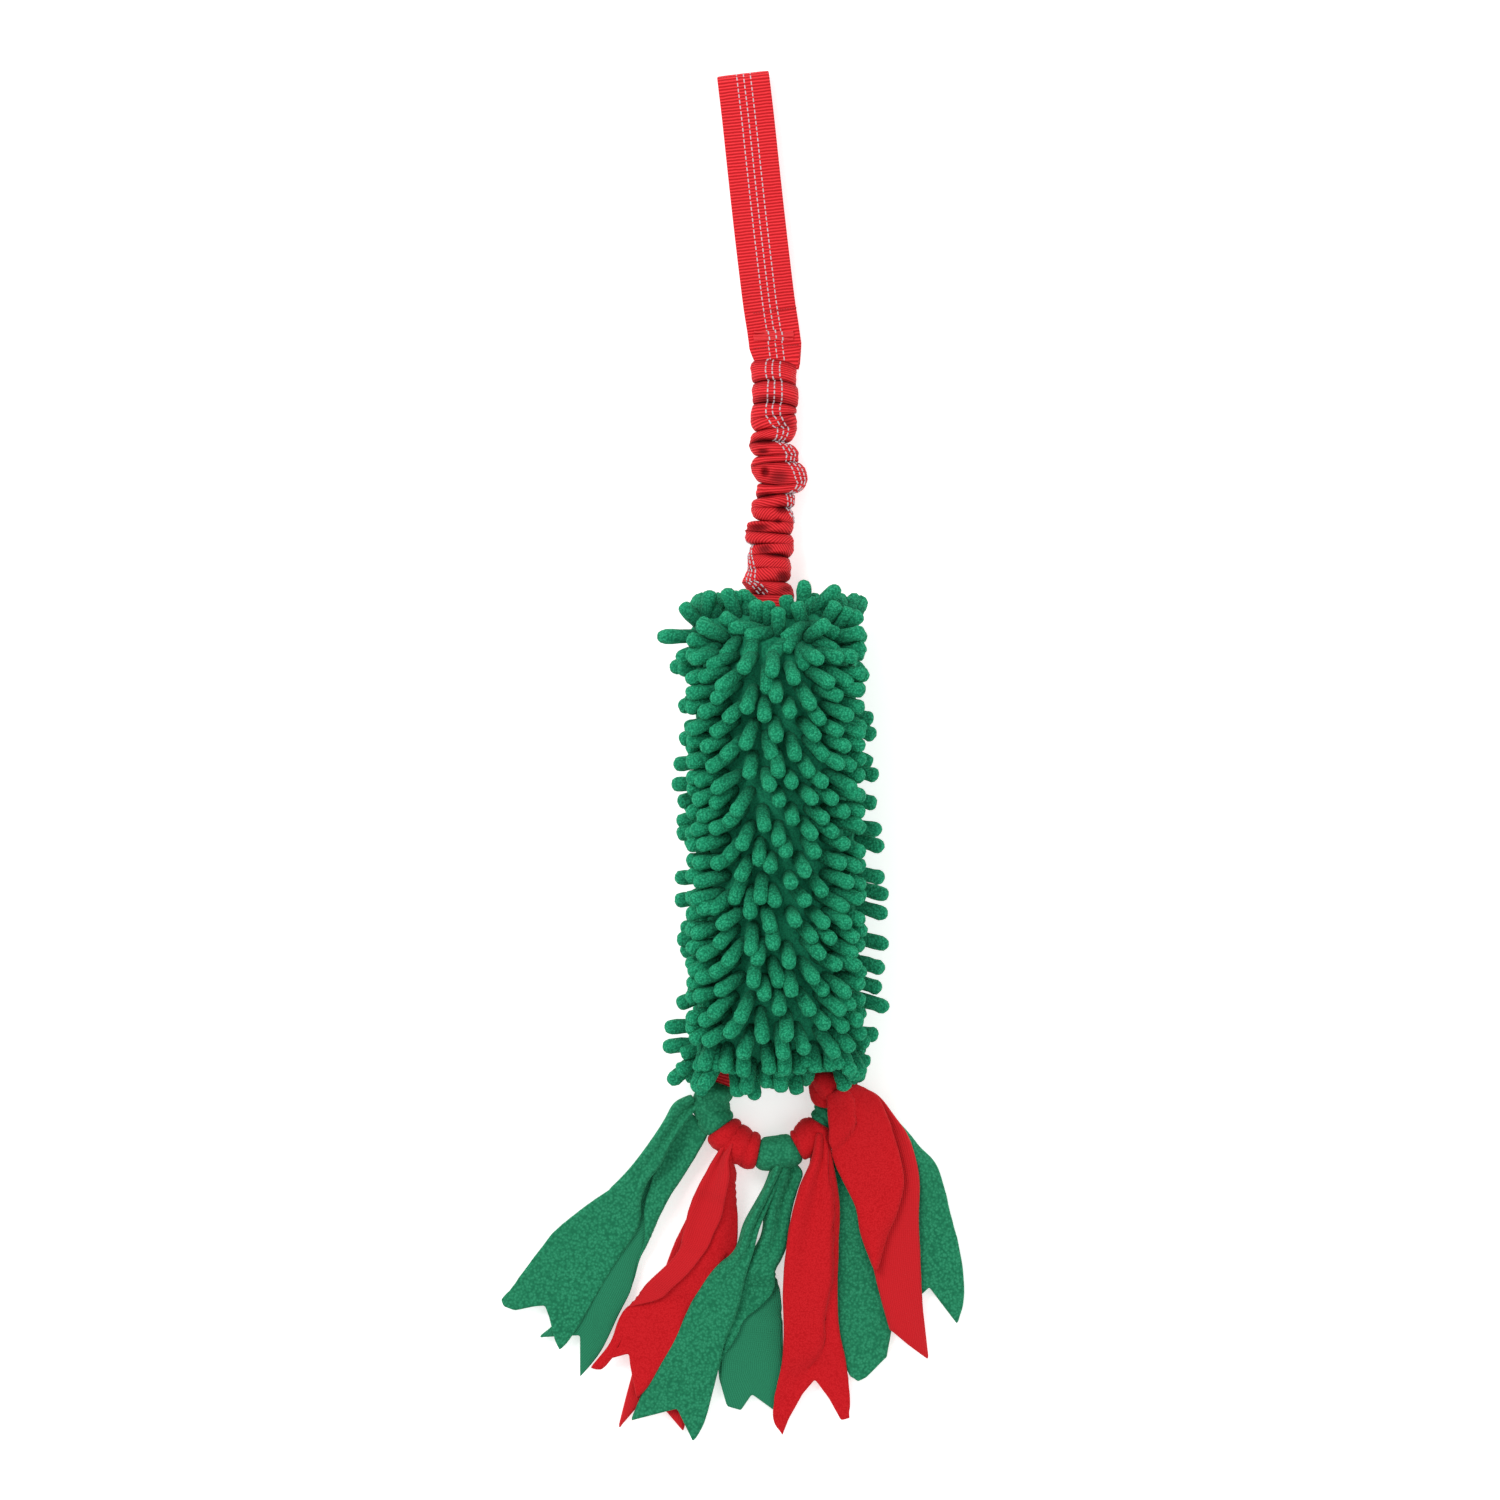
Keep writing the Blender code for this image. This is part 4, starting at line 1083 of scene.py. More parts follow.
def fill(piece):
    """Sew the tube up and fill it: pressure swells the cloth, and no point passes the cap."""
    remesh = piece.modifiers.new("weld", "REMESH")
    remesh.mode = "VOXEL"
    remesh.voxel_size = FILL_VOXEL
    bake(piece)
    before = [vertex.co.copy() for vertex in piece.data.vertices]
    cloth = piece.modifiers.new("filling", "CLOTH")
    cloth.settings.use_pressure = True
    cloth.settings.uniform_pressure_force = FILL_PRESSURE
    cloth.settings.effector_weights.gravity = 0
    cloth.settings.shrink_min = FILL_STRETCH
    for number in range(1, SIMULATED_FRAMES + 1):
        bpy.context.scene.frame_set(number)
    bake(piece)
    bpy.context.scene.frame_set(1)
    for vertex, start in zip(piece.data.vertices, before):
        moved = vertex.co - start
        if moved.length > FILL_CAP:
            vertex.co = start + moved.normalized() * FILL_CAP
    finer = piece.modifiers.new("finer", "SUBSURF")
    finer.levels = finer.render_levels = 1
    bake(piece)
    piece.data.polygons.foreach_set("use_smooth", [True] * len(piece.data.polygons))
    piece.data.materials.clear()
    piece.data.materials.append(CHENILLE_BASE)
    return piece


noodle_body = fill(body_tube())
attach(noodle_body, "mop_body")
print("filled body, faces:", len(noodle_body.data.polygons))

# %% [markdown]
# ## The noodles
# About seven hundred and fifty noodles cover the tube. A cone for each would look like a brush,
# since real ones are soft cords that bend at the root and lie over one another. So each is a short
# curved line: it leaves the cloth square and turns towards the way its neighbours are combed.
# Nearly ninety at both ends and along both sides are placed by their tips in the picture, because
# they make the outline. A Geometry Nodes tree then gives the lines their bodies.

# %% Noodles placed by their tips
# Each of these: root x and y, tip x and y in the picture
TOP_NOODLES = [(801, 611, 803, 579), (813, 612, 841, 588), (843, 627, 861, 615),
               (843, 642, 864, 632), (843, 658, 865, 644), (843, 682, 869, 672),
               (689, 637, 657, 638), (697, 625, 682, 603), (712, 648, 686, 638),
               (722, 638, 697, 621), (707, 617, 712, 590), (737, 618, 724, 589),
               (768, 613, 741, 587), (735, 612, 736, 600), (742, 630, 719, 617),
               (757, 623, 756, 603), (768, 624, 768, 604), (802, 624, 796, 606),
               (762, 632, 727, 631), (770, 634, 743, 640), (778, 634, 778, 607),
               (790, 618, 785, 600), (826, 622, 834, 609), (838, 628, 848, 612),
               (805, 627, 782, 644), (811, 627, 840, 640), (797, 636, 783, 654),
               (799, 648, 804, 674), (788, 642, 768, 662), (754, 640, 749, 662),
               (737, 642, 723, 663), (718, 648, 699, 660), (815, 642, 838, 656),
               (700, 650, 676, 662)]
LEFT_TIPS = [(669, 668), (677, 672), (678, 709), (684, 729), (679, 742), (686, 752), (673, 765),
             (671, 784), (687, 787), (677, 804), (676, 822), (676, 835), (674, 877), (674, 900),
             (697, 916), (680, 928), (676, 938), (681, 953), (676, 1004), (664, 1026), (662, 1046),
             (680, 1054), (676, 1071), (669, 1084)]
BOTTOM_NOODLES = [(706, 1048, 699, 1071), (735, 1066, 739, 1096), (750, 1068, 753, 1101),
                  (764, 1060, 769, 1087), (778, 1050, 782, 1075), (790, 1068, 793, 1095),
                  (796, 1050, 801, 1073), (838, 1064, 846, 1090), (850, 1052, 861, 1076),
                  (812, 1042, 814, 1071), (828, 1042, 829, 1070), (718, 1044, 719, 1070)]
RIGHT_TIPS = [(874, 720), (876, 738), (872, 766), (879, 777), (877, 805), (882, 830), (884, 849),
              (885, 878), (889, 896), (888, 915), (889, 945), (885, 969), (882, 989), (889, 1008),
              (879, 1034), (870, 1044), (870, 1064)]
print("placed at the ends:", len(TOP_NOODLES + BOTTOM_NOODLES),
      "along the sides:", len(LEFT_TIPS + RIGHT_TIPS))

# %% How the noodles are combed


def surface_at(x, y):
    """The top of the tube above a point of the plan, and its normal."""
    share = min(0.995, max(0.005, (TOP_HEM_Y - y) / BODY_LENGTH))
    half_width = mix(END_HALF_WIDTH, BODY_HALF_WIDTH, fullness(share))
    across = max(-0.98, min(0.98, (x - AXIS_X) / half_width))
    turn = math.acos(math.copysign(abs(across) ** (1 / BODY_ROUNDNESS), across))
    return body_spot(share, turn), body_normal(share, turn)


def body_normal(share, turn):
    """The way out of the tube, from two short steps along it and round it."""
    here = body_spot(share, turn)
    along = body_spot(min(0.999, share + 0.004), turn) - body_spot(max(0.001, share - 0.004), turn)
    around = body_spot(share, turn + 0.02) - body_spot(share, turn - 0.02)
    normal = around.cross(along).normalized()
    if normal.dot(here - Vector((AXIS_X, here.y, BODY_HEIGHT))) < 0:
        normal.negate()
    return normal


def combed(point):
    """The way the noodles are combed at a point of the upper side, and how far they lie down."""
    side = (point.x - AXIS_X) / BODY_HALF_WIDTH
    share = (TOP_HEM_Y - point.y) / BODY_LENGTH
    left = smooth((-0.1 - side) / 0.6)
    right = smooth((side - 0.1) / 0.6)
    way = Vector((-0.9, -0.35, 0)) * left + Vector((0.9, -0.3 - 0.4 * share, 0)) * right
    way += Vector((0.1, -0.85, 0)) * (1 - left - right)
    middle = max(0.0, 1 - abs(side - 0.15) / 0.55)
    lie = mix(0.68, 0.5, middle)
    lie -= 0.22 * middle * smooth((share - 0.25) / 0.1) * smooth((0.8 - share) / 0.15)
    way = way.lerp(Vector((side, 0.5, 0)), smooth((0.1 - share) / 0.06))
    if share > 0.88:
        hanging = smooth((share - 0.88) / 0.08)
        way = way.lerp(Vector((side * 0.4, -1.0, -0.1)), hanging)
        lie = mix(lie, 0.85, hanging)
    return way.normalized(), lie


print("how far a noodle lies down in the middle:", round(combed(body_spot(0.5, math.pi / 2))[1], 2))

# %% One noodle's line
NOODLE_LENGTH, NOODLE_RADIUS = 0.0185, 0.0036
# How deep a root sits in the cloth, and the shortest noodle that is placed by its tip
# How deep a noodle's root sits, and the least length of an aimed noodle and of a cut one
ROOT_SINK, SHORTEST, SHORTEST_CUT = 0.001, 0.012, 0.008
chance = random.Random(5)
# Shares of a noodle's length, and its width there
NOODLE_PLACES = (0, 0.14, 0.32, 0.5, 0.68, 0.82, 0.92, 0.975, 1.0)
NOODLE_WIDTHS = (0.84, 0.9, 0.96, 1.0, 1.03, 1.04, 0.88, 0.58, 0.22)


def roof(x, y):
    """Height of the tube's upper side above a point of the plan, or zero beside the tube."""
    share = (TOP_HEM_Y - y) / BODY_LENGTH
    if not 0 < share < 1:
        return 0.0
    full = fullness(share)
    across = abs(x - AXIS_X) / mix(END_HALF_WIDTH, BODY_HALF_WIDTH, full)
    if across >= 1:
        return 0.0
    rise = math.sqrt(1 - across ** (2 / BODY_ROUNDNESS)) ** BODY_ROUNDNESS
    return mix(HEM_HEIGHT, BODY_HEIGHT, full) + mix(END_HALF_DEPTH, BODY_HALF_DEPTH, full) * rise


def noodle_line(root, normal, way, length=NOODLE_LENGTH, bend=0.75):
    """A cord that leaves the cloth square and bends over, clear of the floor and the tube."""
    points, widths, here, before = [], [], root - normal * ROOT_SINK, 0.0
    for share, width in zip(NOODLE_PLACES, NOODLE_WIDTHS):
        heading = normal.lerp(way, bend * smooth(share * 1.6 + 0.15)).normalized()
        here = here + heading * (length * (share - before))
        before = share
        if normal.z > 0.1:
            lie = roof(here.x, here.y) + NOODLE_RADIUS * 0.85 * smooth(share * 4)
            here.z = max(here.z, lie)
        here.z = max(here.z, NOODLE_RADIUS)
        points.append(here.copy())
        widths.append(width * (1 + 0.04 * math.sin(share * 21 + root.x * 900)))
    return points, widths


def aimed_noodle(root_x, root_y, tip_x, tip_y):
    """A noodle placed by its root and tip in the picture."""
    root, normal = surface_at(*spot(root_x, root_y).xy)
    reach = spot(tip_x, tip_y, root.z) - root
    way = Vector((reach.x, reach.y, 0)).normalized()
    way.z = chance.uniform(-0.1, 0.2)
    return noodle_line(root, normal.lerp(way, 0.5).normalized(), way.normalized(),
                       max(SHORTEST, reach.length * 1.03), 0.95)


print("points on a noodle's line:", len(NOODLE_PLACES))

# %% Noodles along the outline
noodles = [aimed_noodle(*row) for row in TOP_NOODLES + BOTTOM_NOODLES]
for tips, turn_x in ((LEFT_TIPS, -1), (RIGHT_TIPS, 1)):
    for tip_x, tip_y in tips:
        lean = chance.uniform(3, 14) if turn_x > 0 else chance.uniform(0, 9)
        share = (TOP_HEM_Y - spot(0, tip_y - lean).y) / BODY_LENGTH
        share = min(0.985, max(0.015, share))
        turn = (math.pi if turn_x < 0 else 0) - turn_x * chance.uniform(-0.15, 0.35)
        root = body_spot(share, turn)
        goal = spot(tip_x, tip_y, root.z + chance.uniform(-0.004, 0.003))
        way = (goal - root).normalized()
        noodles.append(noodle_line(root, body_normal(share, turn).lerp(way, 0.5).normalized(), way,
                                   (goal - root).length * 1.02, 1.0))
print("noodles placed by their tips:", len(noodles))

# %% Rows of noodles over the whole tube
NOODLE_ROWS, NOODLE_COLUMNS = 27, 24
# Half the width that the tips keep to, so that those placed one by one make the outline
SIDE_LIMIT = 0.0435
SIDE_SINK, SIDE_PRESS = 0.0015, 0.75
# Where knots and webbing show under the lower edge: left, right and the lowest place of a tip
BARE_PLACES = [(703, 731, 1070), (802, 841, 1064), (841, 880, 1076)]
for row in range(NOODLE_ROWS):
    for column in range(NOODLE_COLUMNS):
        turn = math.tau * (column + 0.5 * (row % 2) + chance.uniform(-0.16, 0.16)) / NOODLE_COLUMNS
        share = (row + 0.5 + chance.uniform(-0.2, 0.2)) / NOODLE_ROWS
        on_top = math.sin(turn) > 0.25
        if on_top and (share < 0.06 or share > 0.985):
            continue
        root, normal = body_spot(share, turn), body_normal(share, turn)
        way, lie = combed(root)
        way += Vector([chance.uniform(-0.25, 0.25) for _ in range(3)])
        if abs(math.cos(turn)) > 0.9:
            # The sides: pressed flat, so that the outline keeps its gaps
            way, lie = Vector((-0.05 * normal.x, -0.9, chance.uniform(-0.7, 0.0))), 1.0
            root = root - normal * SIDE_SINK
            normal = normal.lerp(way.normalized(), SIDE_PRESS).normalized()
        elif normal.z < -0.2:
            # The underside: laid down towards the tails, with some spread
            way, lie = Vector((0.3 * normal.x + chance.uniform(-0.5, 0.5), -0.8, -0.05)), 0.8
        length = NOODLE_LENGTH * chance.uniform(0.88, 1.08)
        lie += chance.uniform(-0.1, 0.1)
        line = noodle_line(root, normal, way.normalized(), length, lie)
        tip = line[0][-1]
        over = abs(tip.x - AXIS_X) - SIDE_LIMIT if share < 0.94 else 0
        if on_top:
            over = max([over] + [spot(0, lowest).y - tip.y for low, high, lowest in BARE_PLACES
                                 if spot(low, 0).x < tip.x < spot(high, 0).x])
        if over > 0:
            length = max(SHORTEST_CUT, length - over)
            line = noodle_line(root, normal, way.normalized(), length, lie)
        noodles.append(line)
print("noodles with the rows:", len(noodles))

# %% Short noodles over both end faces, clear of the webbing there
# Rows on the end faces: the share down the body, and the way out of that end
END_ROWS = [(0.014, 1), (0.0065, 1), (0.986, -1), (0.9935, -1)]
END_COLUMNS, END_LENGTH = 14, 0.0145
for share, out in END_ROWS:
    for number in range(END_COLUMNS):
        turn = math.pi * (number + 0.5 + chance.uniform(-0.2, 0.2)) / END_COLUMNS
        root, normal = body_spot(share, turn), body_normal(share, turn)
        way = Vector((chance.uniform(-0.3, 0.3), 0.55 * out, -0.8)).normalized()
        off_axis = abs(root.x - AXIS_X)
        if off_axis < 0.013 if out > 0 else 0.019 < off_axis < 0.033:
            continue
        noodles.append(noodle_line(root, normal.lerp(way, 0.35).normalized(), way, END_LENGTH,
                                   0.95))
print("noodles:", len(noodles))

# %% [markdown]
# ### The noodles' bodies
# A noodle is a cord of cut pile. It narrows at its root and is rounded at its tip, so each line
# carries its width at every point. Its surface is uneven as well, and a noise of the tufts' size
# pushes it in and out. The lines also carry their reach from root to tip, which the chenille
# reads to paint shade at the roots.

# %% A tree that turns lines into noodles
UNEVENNESS, TUFT_SIZE = 0.0011, 0.0024


def noodle_tree():
    """Cords whose width varies along them, pushed in and out by a noise of tufts."""
    tree, start = new_tree("noodles_from_lines", ["Radius", "Unevenness", "Tuft Size", "Seed"])
    given = start.outputs
    width = add_node(tree, "GeometryNodeInputNamedAttribute", {"Name": "width_share"},
                     data_type="FLOAT")
    cords = swept_circle(tree, start, 8, given["Radius"], width.outputs["Attribute"])
    scale = add_node(tree, "ShaderNodeMath", {0: 1, 1: given["Tuft Size"]}, operation="DIVIDE")
    tufts = add_node(tree, "ShaderNodeTexNoise", {
        "Scale": scale.outputs[0], "W": given["Seed"], "Detail": 1}, noise_dimensions="4D")
    centred = add_node(tree, "ShaderNodeMath", {0: tufts.outputs["Fac"], 1: 0.5},
                       operation="SUBTRACT")
    amount = add_node(tree, "ShaderNodeMath", {0: centred.outputs[0], 1: given["Unevenness"]},
                      operation="MULTIPLY")
    normal = add_node(tree, "GeometryNodeInputNormal")
    push = add_node(tree, "ShaderNodeVectorMath", {
        0: normal.outputs["Normal"], "Scale": amount.outputs[0]}, operation="SCALE")
    moved = add_node(tree, "GeometryNodeSetPosition", {
        "Geometry": cords, "Offset": push.outputs["Vector"]})
    return end_tree(tree, start, moved.outputs["Geometry"])


NOODLE_TREE = noodle_tree()


def grow_noodles(name, lines):
    made = line_mesh(name, [points for points, _ in lines])
    for label, values in (("width_share", [w for _, widths in lines for w in widths]),
                          ("reach", list(NOODLE_PLACES) * len(lines))):
        made.data.attributes.new(label, "FLOAT", "POINT").data.foreach_set("value", values)
    dress(made, NOODLE_TREE, {"Radius": NOODLE_RADIUS, "Unevenness": UNEVENNESS,
                              "Tuft Size": TUFT_SIZE, "Seed": 3.0, "Material": CHENILLE})
    return made


# The lowest noodles lean on the knots, so they are a piece of their own
chenille_noodles = grow_noodles("chenille_noodles", [
    line for line in noodles if line[0][-1].y >= BOTTOM_HEM_Y])
lower_noodles = grow_noodles("lower_noodles", [
    line for line in noodles if line[0][-1].y < BOTTOM_HEM_Y])
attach(chenille_noodles, "mop_body")
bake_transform(lower_noodles)
COVERS = [f"noodle_cover_{number}" for number in range(1, 9)]
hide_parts(*COVERS)
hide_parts(*COVERS, "stuffing_core", "top_hem", "bottom_hem")
print("noodle faces:", len(chenille_noodles.data.polygons))

# %% [markdown]
# ## The webbing ring
# A second band of webbing leaves the lower seam, rounds a wide bend and goes back in. It is drawn
# together into a narrow cord inside the knots, and it only shows flat at the upper left.

# %% The ring's line
RING_CENTRE = (0.0188, -0.163)
RING_SPREAD, RING_DROP, RING_HEIGHT = 0.0305, 0.0335, 0.0093
# Where the two ends leave the hem, left and right of its middle, and how far in and out of it
RING_LEFT, RING_RIGHT = 0.0262, 0.0258
RING_INSIDE, RING_OUTSIDE = 0.004, 0.003
RING_STEPS = 24


def ring_points():
    """Out of the hem on the left, round the bend and back in on the right, then eased twice."""
    left, right = AXIS_X - RING_LEFT, AXIS_X + RING_RIGHT
    inside, outside = BOTTOM_HEM_Y + RING_INSIDE, BOTTOM_HEM_Y - RING_OUTSIDE
    points = [Vector((left, inside, HEM_HEIGHT)), Vector((left, outside, HEM_HEIGHT))]
    for step in range(RING_STEPS + 1):
        turn = math.radians(mix(15, 165, step / RING_STEPS))
        points.append(Vector((RING_CENTRE[0] - RING_SPREAD * math.cos(turn),
                              RING_CENTRE[1] - RING_DROP * math.sin(turn), RING_HEIGHT)))
    points += [Vector((right, outside, HEM_HEIGHT)), Vector((right, inside, HEM_HEIGHT))]
    for _ in range(2):
        eased = [points[0]]
        for first, second in zip(points, points[1:]):
            eased += [first.lerp(second, 0.25), first.lerp(second, 0.75)]
        points = eased + [points[-1]]
    return points


RING_LINE = ring_points()
ring_steps = running_lengths(RING_LINE)
print("length of the ring:", round(ring_steps[-1], 4))

# %% The ring's band
RING_HALF_WIDTH, RING_THICKNESS = 0.0045, 0.00225
RING_ROWS = 90
# Half widths of the flat ends, left and right, and where and over what length they draw in
FLAT_LEFT, FLAT_RIGHT = 0.0092, 0.0075
DRAWN_LEFT, DRAWN_RIGHT, DRAWN_OVER = 0.008, 0.006, 0.01


def ring_frame(distance):
    """A place along the ring, its direction and the level direction across it."""
    def place(at):
        index, share = find_step(ring_steps, min(max(at, 0), ring_steps[-1]))
        return RING_LINE[index].lerp(RING_LINE[index + 1], share)

    way = (place(distance + 0.0015) - place(distance - 0.0015)).normalized()
    return place(distance), way, UP.cross(Vector((way.x, way.y, 0))).normalized()


ring_rows = []
for row in range(RING_ROWS + 1):
    distance = ring_steps[-1] * row / RING_ROWS
    centre, way, side = ring_frame(distance)
    # Flat where it leaves the hem, and drawn together where the knots begin
    left = mix(FLAT_LEFT, RING_HALF_WIDTH, smooth((distance - DRAWN_LEFT) / DRAWN_OVER))
    right = mix(FLAT_RIGHT, RING_HALF_WIDTH,
                smooth((ring_steps[-1] - distance - DRAWN_RIGHT) / DRAWN_OVER))
    ring_rows.append((centre, side, side.cross(way) * -1, max(left, right), RING_THICKNESS))
webbing_ring = band("webbing_ring", ring_rows, WEBBING)
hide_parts("tail_loop")
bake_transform(webbing_ring)
print("ring faces:", len(webbing_ring.data.polygons))

# %% [markdown]
# ## Six knots
# Each knot is one fleece strip wound round the ring two or three times. Winding real strips would
# bury most of the cloth, so only the outside is made: a swelling round the ring with rounded
# turns that climb round it, drawn in between, and wrinkled along the winding.

# %% Knots
# Each knot: start and length along the ring, radius, turns, tilt of the turns, depth of the
# grooves, material
KNOT_TABLE = [(0.0120, 0.0262, 0.0092, 2.4, 0.22, 0.15, GREEN_NAP),
              (0.0375, 0.0235, 0.0098, 2.5, 0.30, 0.17, RED_NAP),
              (0.0605, 0.0200, 0.0086, 1.0, 0.20, 0.10, GREEN_NAP),
              (0.0800, 0.0172, 0.0090, 1.4, 0.40, 0.20, RED_NAP),
              (0.0965, 0.0125, 0.0066, 2.5, 0.20, 0.22, GREEN_NAP),
              (0.1085, 0.0185, 0.0095, 1.3, 0.40, 0.22, RED_NAP)]
KNOT_ROWS, KNOT_COLUMNS = 40, 40
KNOT_FLOOR = 0.0002
for number, (at, length, radius, turns, tilt, groove, material) in enumerate(KNOT_TABLE, 1):
    points = []
    for row in range(KNOT_ROWS + 1):
        share = row / KNOT_ROWS
        centre, way, side = ring_frame(at + length * share)
        up = side.cross(way) * -1
        for column in range(KNOT_COLUMNS):
            turn = math.tau * column / KNOT_COLUMNS
            phase = turns * share + tilt * math.sin(turn + number) + turn / math.tau
            wave = abs(math.sin(math.pi * phase)) ** 0.4
            body = (1 - abs(2 * share - 1) ** 5) ** 0.5 if 0 < row < KNOT_ROWS else 0.0
            out = radius * mix(0.62, 1.0, body) * (1 - groove * (1 - wave))
            probe = Vector((turn * 1.2, phase * 5, number * 7))
            out *= 1.02 + 0.04 * noise.noise(probe) + 0.02 * noise.noise(probe * 2.7)
            points.append(centre + side * (out * math.cos(turn)) + up * (out * math.sin(turn)))
    for point in points:
        point.z = max(point.z, KNOT_FLOOR)
    made = face_out(add_mesh(f"knot_{number}_wrap", points,
                             tube_faces(KNOT_ROWS + 1, KNOT_COLUMNS), material))
    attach(made, "tail_ring")
    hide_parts(f"knot_{number}")
    print("knot", number, "turns:", turns, "faces:", len(made.data.polygons))

# %% [markdown]
# ## Twelve fleece tails
# Each tail is one end of a knotted strip, 38 mm wide, cut with a notch. They fall in folds, and
# each fold is different, so every strip is a grid between its two edges in the picture. A strip
# can carry a turned-over edge or a pleat, given as shares of its width from the knot to the end.

# %% How a strip is laid
FLEECE_THICKNESS = 0.0017
STRIP_WIDTH = 0.038
# Heights of a strip at its knot and at its end, by how many strips it lies on
LAYERS = {"under": (0.0002, 0.0002), "over": (0.0062, 0.0038), "top": (0.0150, 0.0078)}
Strip = namedtuple("Strip", "layer up lefts rights ends flap pleat waves")


def plan_line(pixels, share):
    """A point on a rounded line through places in the picture."""
    return curve_through([spot(x, y) for x, y in pixels], share)


def end_line(pixels, share):
    """A straight-sided line through points, by share of its length."""
    points = [spot(x, y) for x, y in pixels]
    lengths = running_lengths(points)
    index, share = find_step(lengths, share * lengths[-1])
    return points[index].lerp(points[index + 1], share)


def table_at(values, share):
    """A value along a strip, from a few even places."""
    at = share * (len(values) - 1)
    index = min(int(at), len(values) - 2)
    return mix(values[index], values[index + 1], smooth(at - index))


print("layers of fleece:", LAYERS)

# %% Turned edges and pleats
# How high a turned layer lies over the first, and how much spare cloth can be tucked under
LAYER_RISE = 0.0021
TUCK_LIMIT = 0.47
PLEAT_LIP = 0.09


def section(strip, share, lane, spare):
    """Across share and height for one lane of cloth. Spare cloth is tucked under the edges."""
    side, amounts = strip.flap if strip.flap else ("right", (0, 0))
    flap = table_at(amounts, share)
    spare = max(0.0, spare - flap)
    if strip.flap:
        first, last, last_rise = min(spare, 0.8), flap, smooth(flap * 6)
    else:
        first = last = min(spare / 2, TUCK_LIMIT)
        last_rise = -smooth(last * 6)
    if side == "left":
        lane = 1 - lane
    cloth = lane * (1 + first + last)
    if cloth < first:
        across = first - cloth
    elif cloth <= first + 1:
        across = cloth - first
    else:
        across = 2 + first - cloth
    tucked = smooth((cloth - first) / 0.08 + 0.5)
    over = smooth((cloth - first - 1) / 0.08 + 0.5)
    height = (tucked * smooth(first * 6) + over * last_rise) * LAYER_RISE
    if side == "left":
        across = 1 - across
    if strip.pleat:
        places, drops = strip.pleat
        step, drop = table_at(places, share), table_at(drops, share)
        if across < step:
            across += PLEAT_LIP * min(1, drop / 0.003) * math.exp((across - step) / 0.12)
        height += drop * smooth((step - across) / 0.05 + 0.9)
    return across, height


print("most cloth tucked under each edge, as a share of the width:", TUCK_LIMIT)

# %% A strip's cloth
LANES, TAIL_ROWS = 45, 44
# From this share of the length on, the strip is drawn towards the cut at its end
CUT_START = 0.72
GATHER, SWAY, CROWN = 0.0022, 0.0007, 0.0028
SWAY_SIZES = (38, 24)


def strip_width(strip, share):
    """The width between the edges in the picture, square to the way the strip runs."""
    after, before = min(1, share + 0.04), max(0, share - 0.04)
    heading = (plan_line(strip.lefts, after) + plan_line(strip.rights, after)
               - plan_line(strip.lefts, before) - plan_line(strip.rights, before))
    across = plan_line(strip.rights, share) - plan_line(strip.lefts, share)
    return abs(heading.normalized().cross(across).z)


def strip_height(strip, number, point, across, share, spare):
    """Height of the cloth's middle at a point: where it lies, gathers, sways and swells."""
    low, high = LAYERS[strip.layer]
    gather = (1 - smooth(share / 0.7)) * GATHER
    ripple = gather * (1 + math.sin(across * math.tau * strip.waves + number + share * 3))
    sway = SWAY * (1 + noise.noise(Vector((point.x * SWAY_SIZES[0], point.y * SWAY_SIZES[1],
                                           number))))
    crown = CROWN * (1 - (2 * across - 1) ** 2) * smooth((spare - 0.25) / 1.2)
    return mix(low, high, smooth(share * 1.1)), ripple + sway + crown + FLEECE_THICKNESS / 2


def strip_points(strip, number):
    """The strip as a grid of points, from the knot to its cut end."""
    points = []
    for row in range(TAIL_ROWS + 1):
        share = row / TAIL_ROWS
        left, right = plan_line(strip.lefts, share), plan_line(strip.rights, share)
        spare = max(0.0, STRIP_WIDTH / max(strip_width(strip, share), 0.006) - 1)
        fit = smooth((share - CUT_START) / (1 - CUT_START))
        for column in range(LANES):
            across, height = section(strip, share, column / (LANES - 1), spare)
            point = left.lerp(right, across)
            flat_end = spot(*strip.lefts[-1]).lerp(spot(*strip.rights[-1]), across)
            point += (end_line(strip.ends, across) - flat_end) * fit
            floor_height, more = strip_height(strip, number, point, across, share, spare)
            point.z = floor_height + height + more
            points.append(point)
    return points


print("points on a strip's grid:", (TAIL_ROWS + 1) * LANES)

# %% A strip as a finished piece
LENGTH_STEPS = 20


def tail_piece(name, strip, number):
    """The finished strip, with the nap on one side and the knit on the other, and its length."""
    long = sum((plan_line(strip.lefts, (step + 1) / LENGTH_STEPS)
                - plan_line(strip.lefts, step / LENGTH_STEPS)).length
               for step in range(LENGTH_STEPS))
    uvs = [(column / (LANES - 1) * STRIP_WIDTH, row / TAIL_ROWS * long)
           for row in range(TAIL_ROWS + 1) for column in range(LANES)]
    sides = (GREEN_NAP, GREEN_KNIT) if "green" in name else (RED_NAP, RED_KNIT)
    shown, hidden = sides if strip.up == "nap" else sides[::-1]
    piece = add_mesh(name, strip_points(strip, number), grid_faces(TAIL_ROWS + 1, LANES), shown,
                     uvs)
    piece.data.materials.append(hidden)
    if piece.data.polygons[(TAIL_ROWS - 2) * (LANES - 1) + LANES // 2].normal.z < 0:
        piece.data.flip_normals()
    thicken = piece.modifiers.new("thickness", "SOLIDIFY")
    thicken.thickness = FLEECE_THICKNESS
    thicken.offset = 0
    thicken.material_offset = 1
    thicken.use_rim = True
    soften = piece.modifiers.new("soft_edges", "SUBSURF")
    soften.levels = soften.render_levels = 1
    return bake(piece), long


print("steps that measure a strip's length:", LENGTH_STEPS)

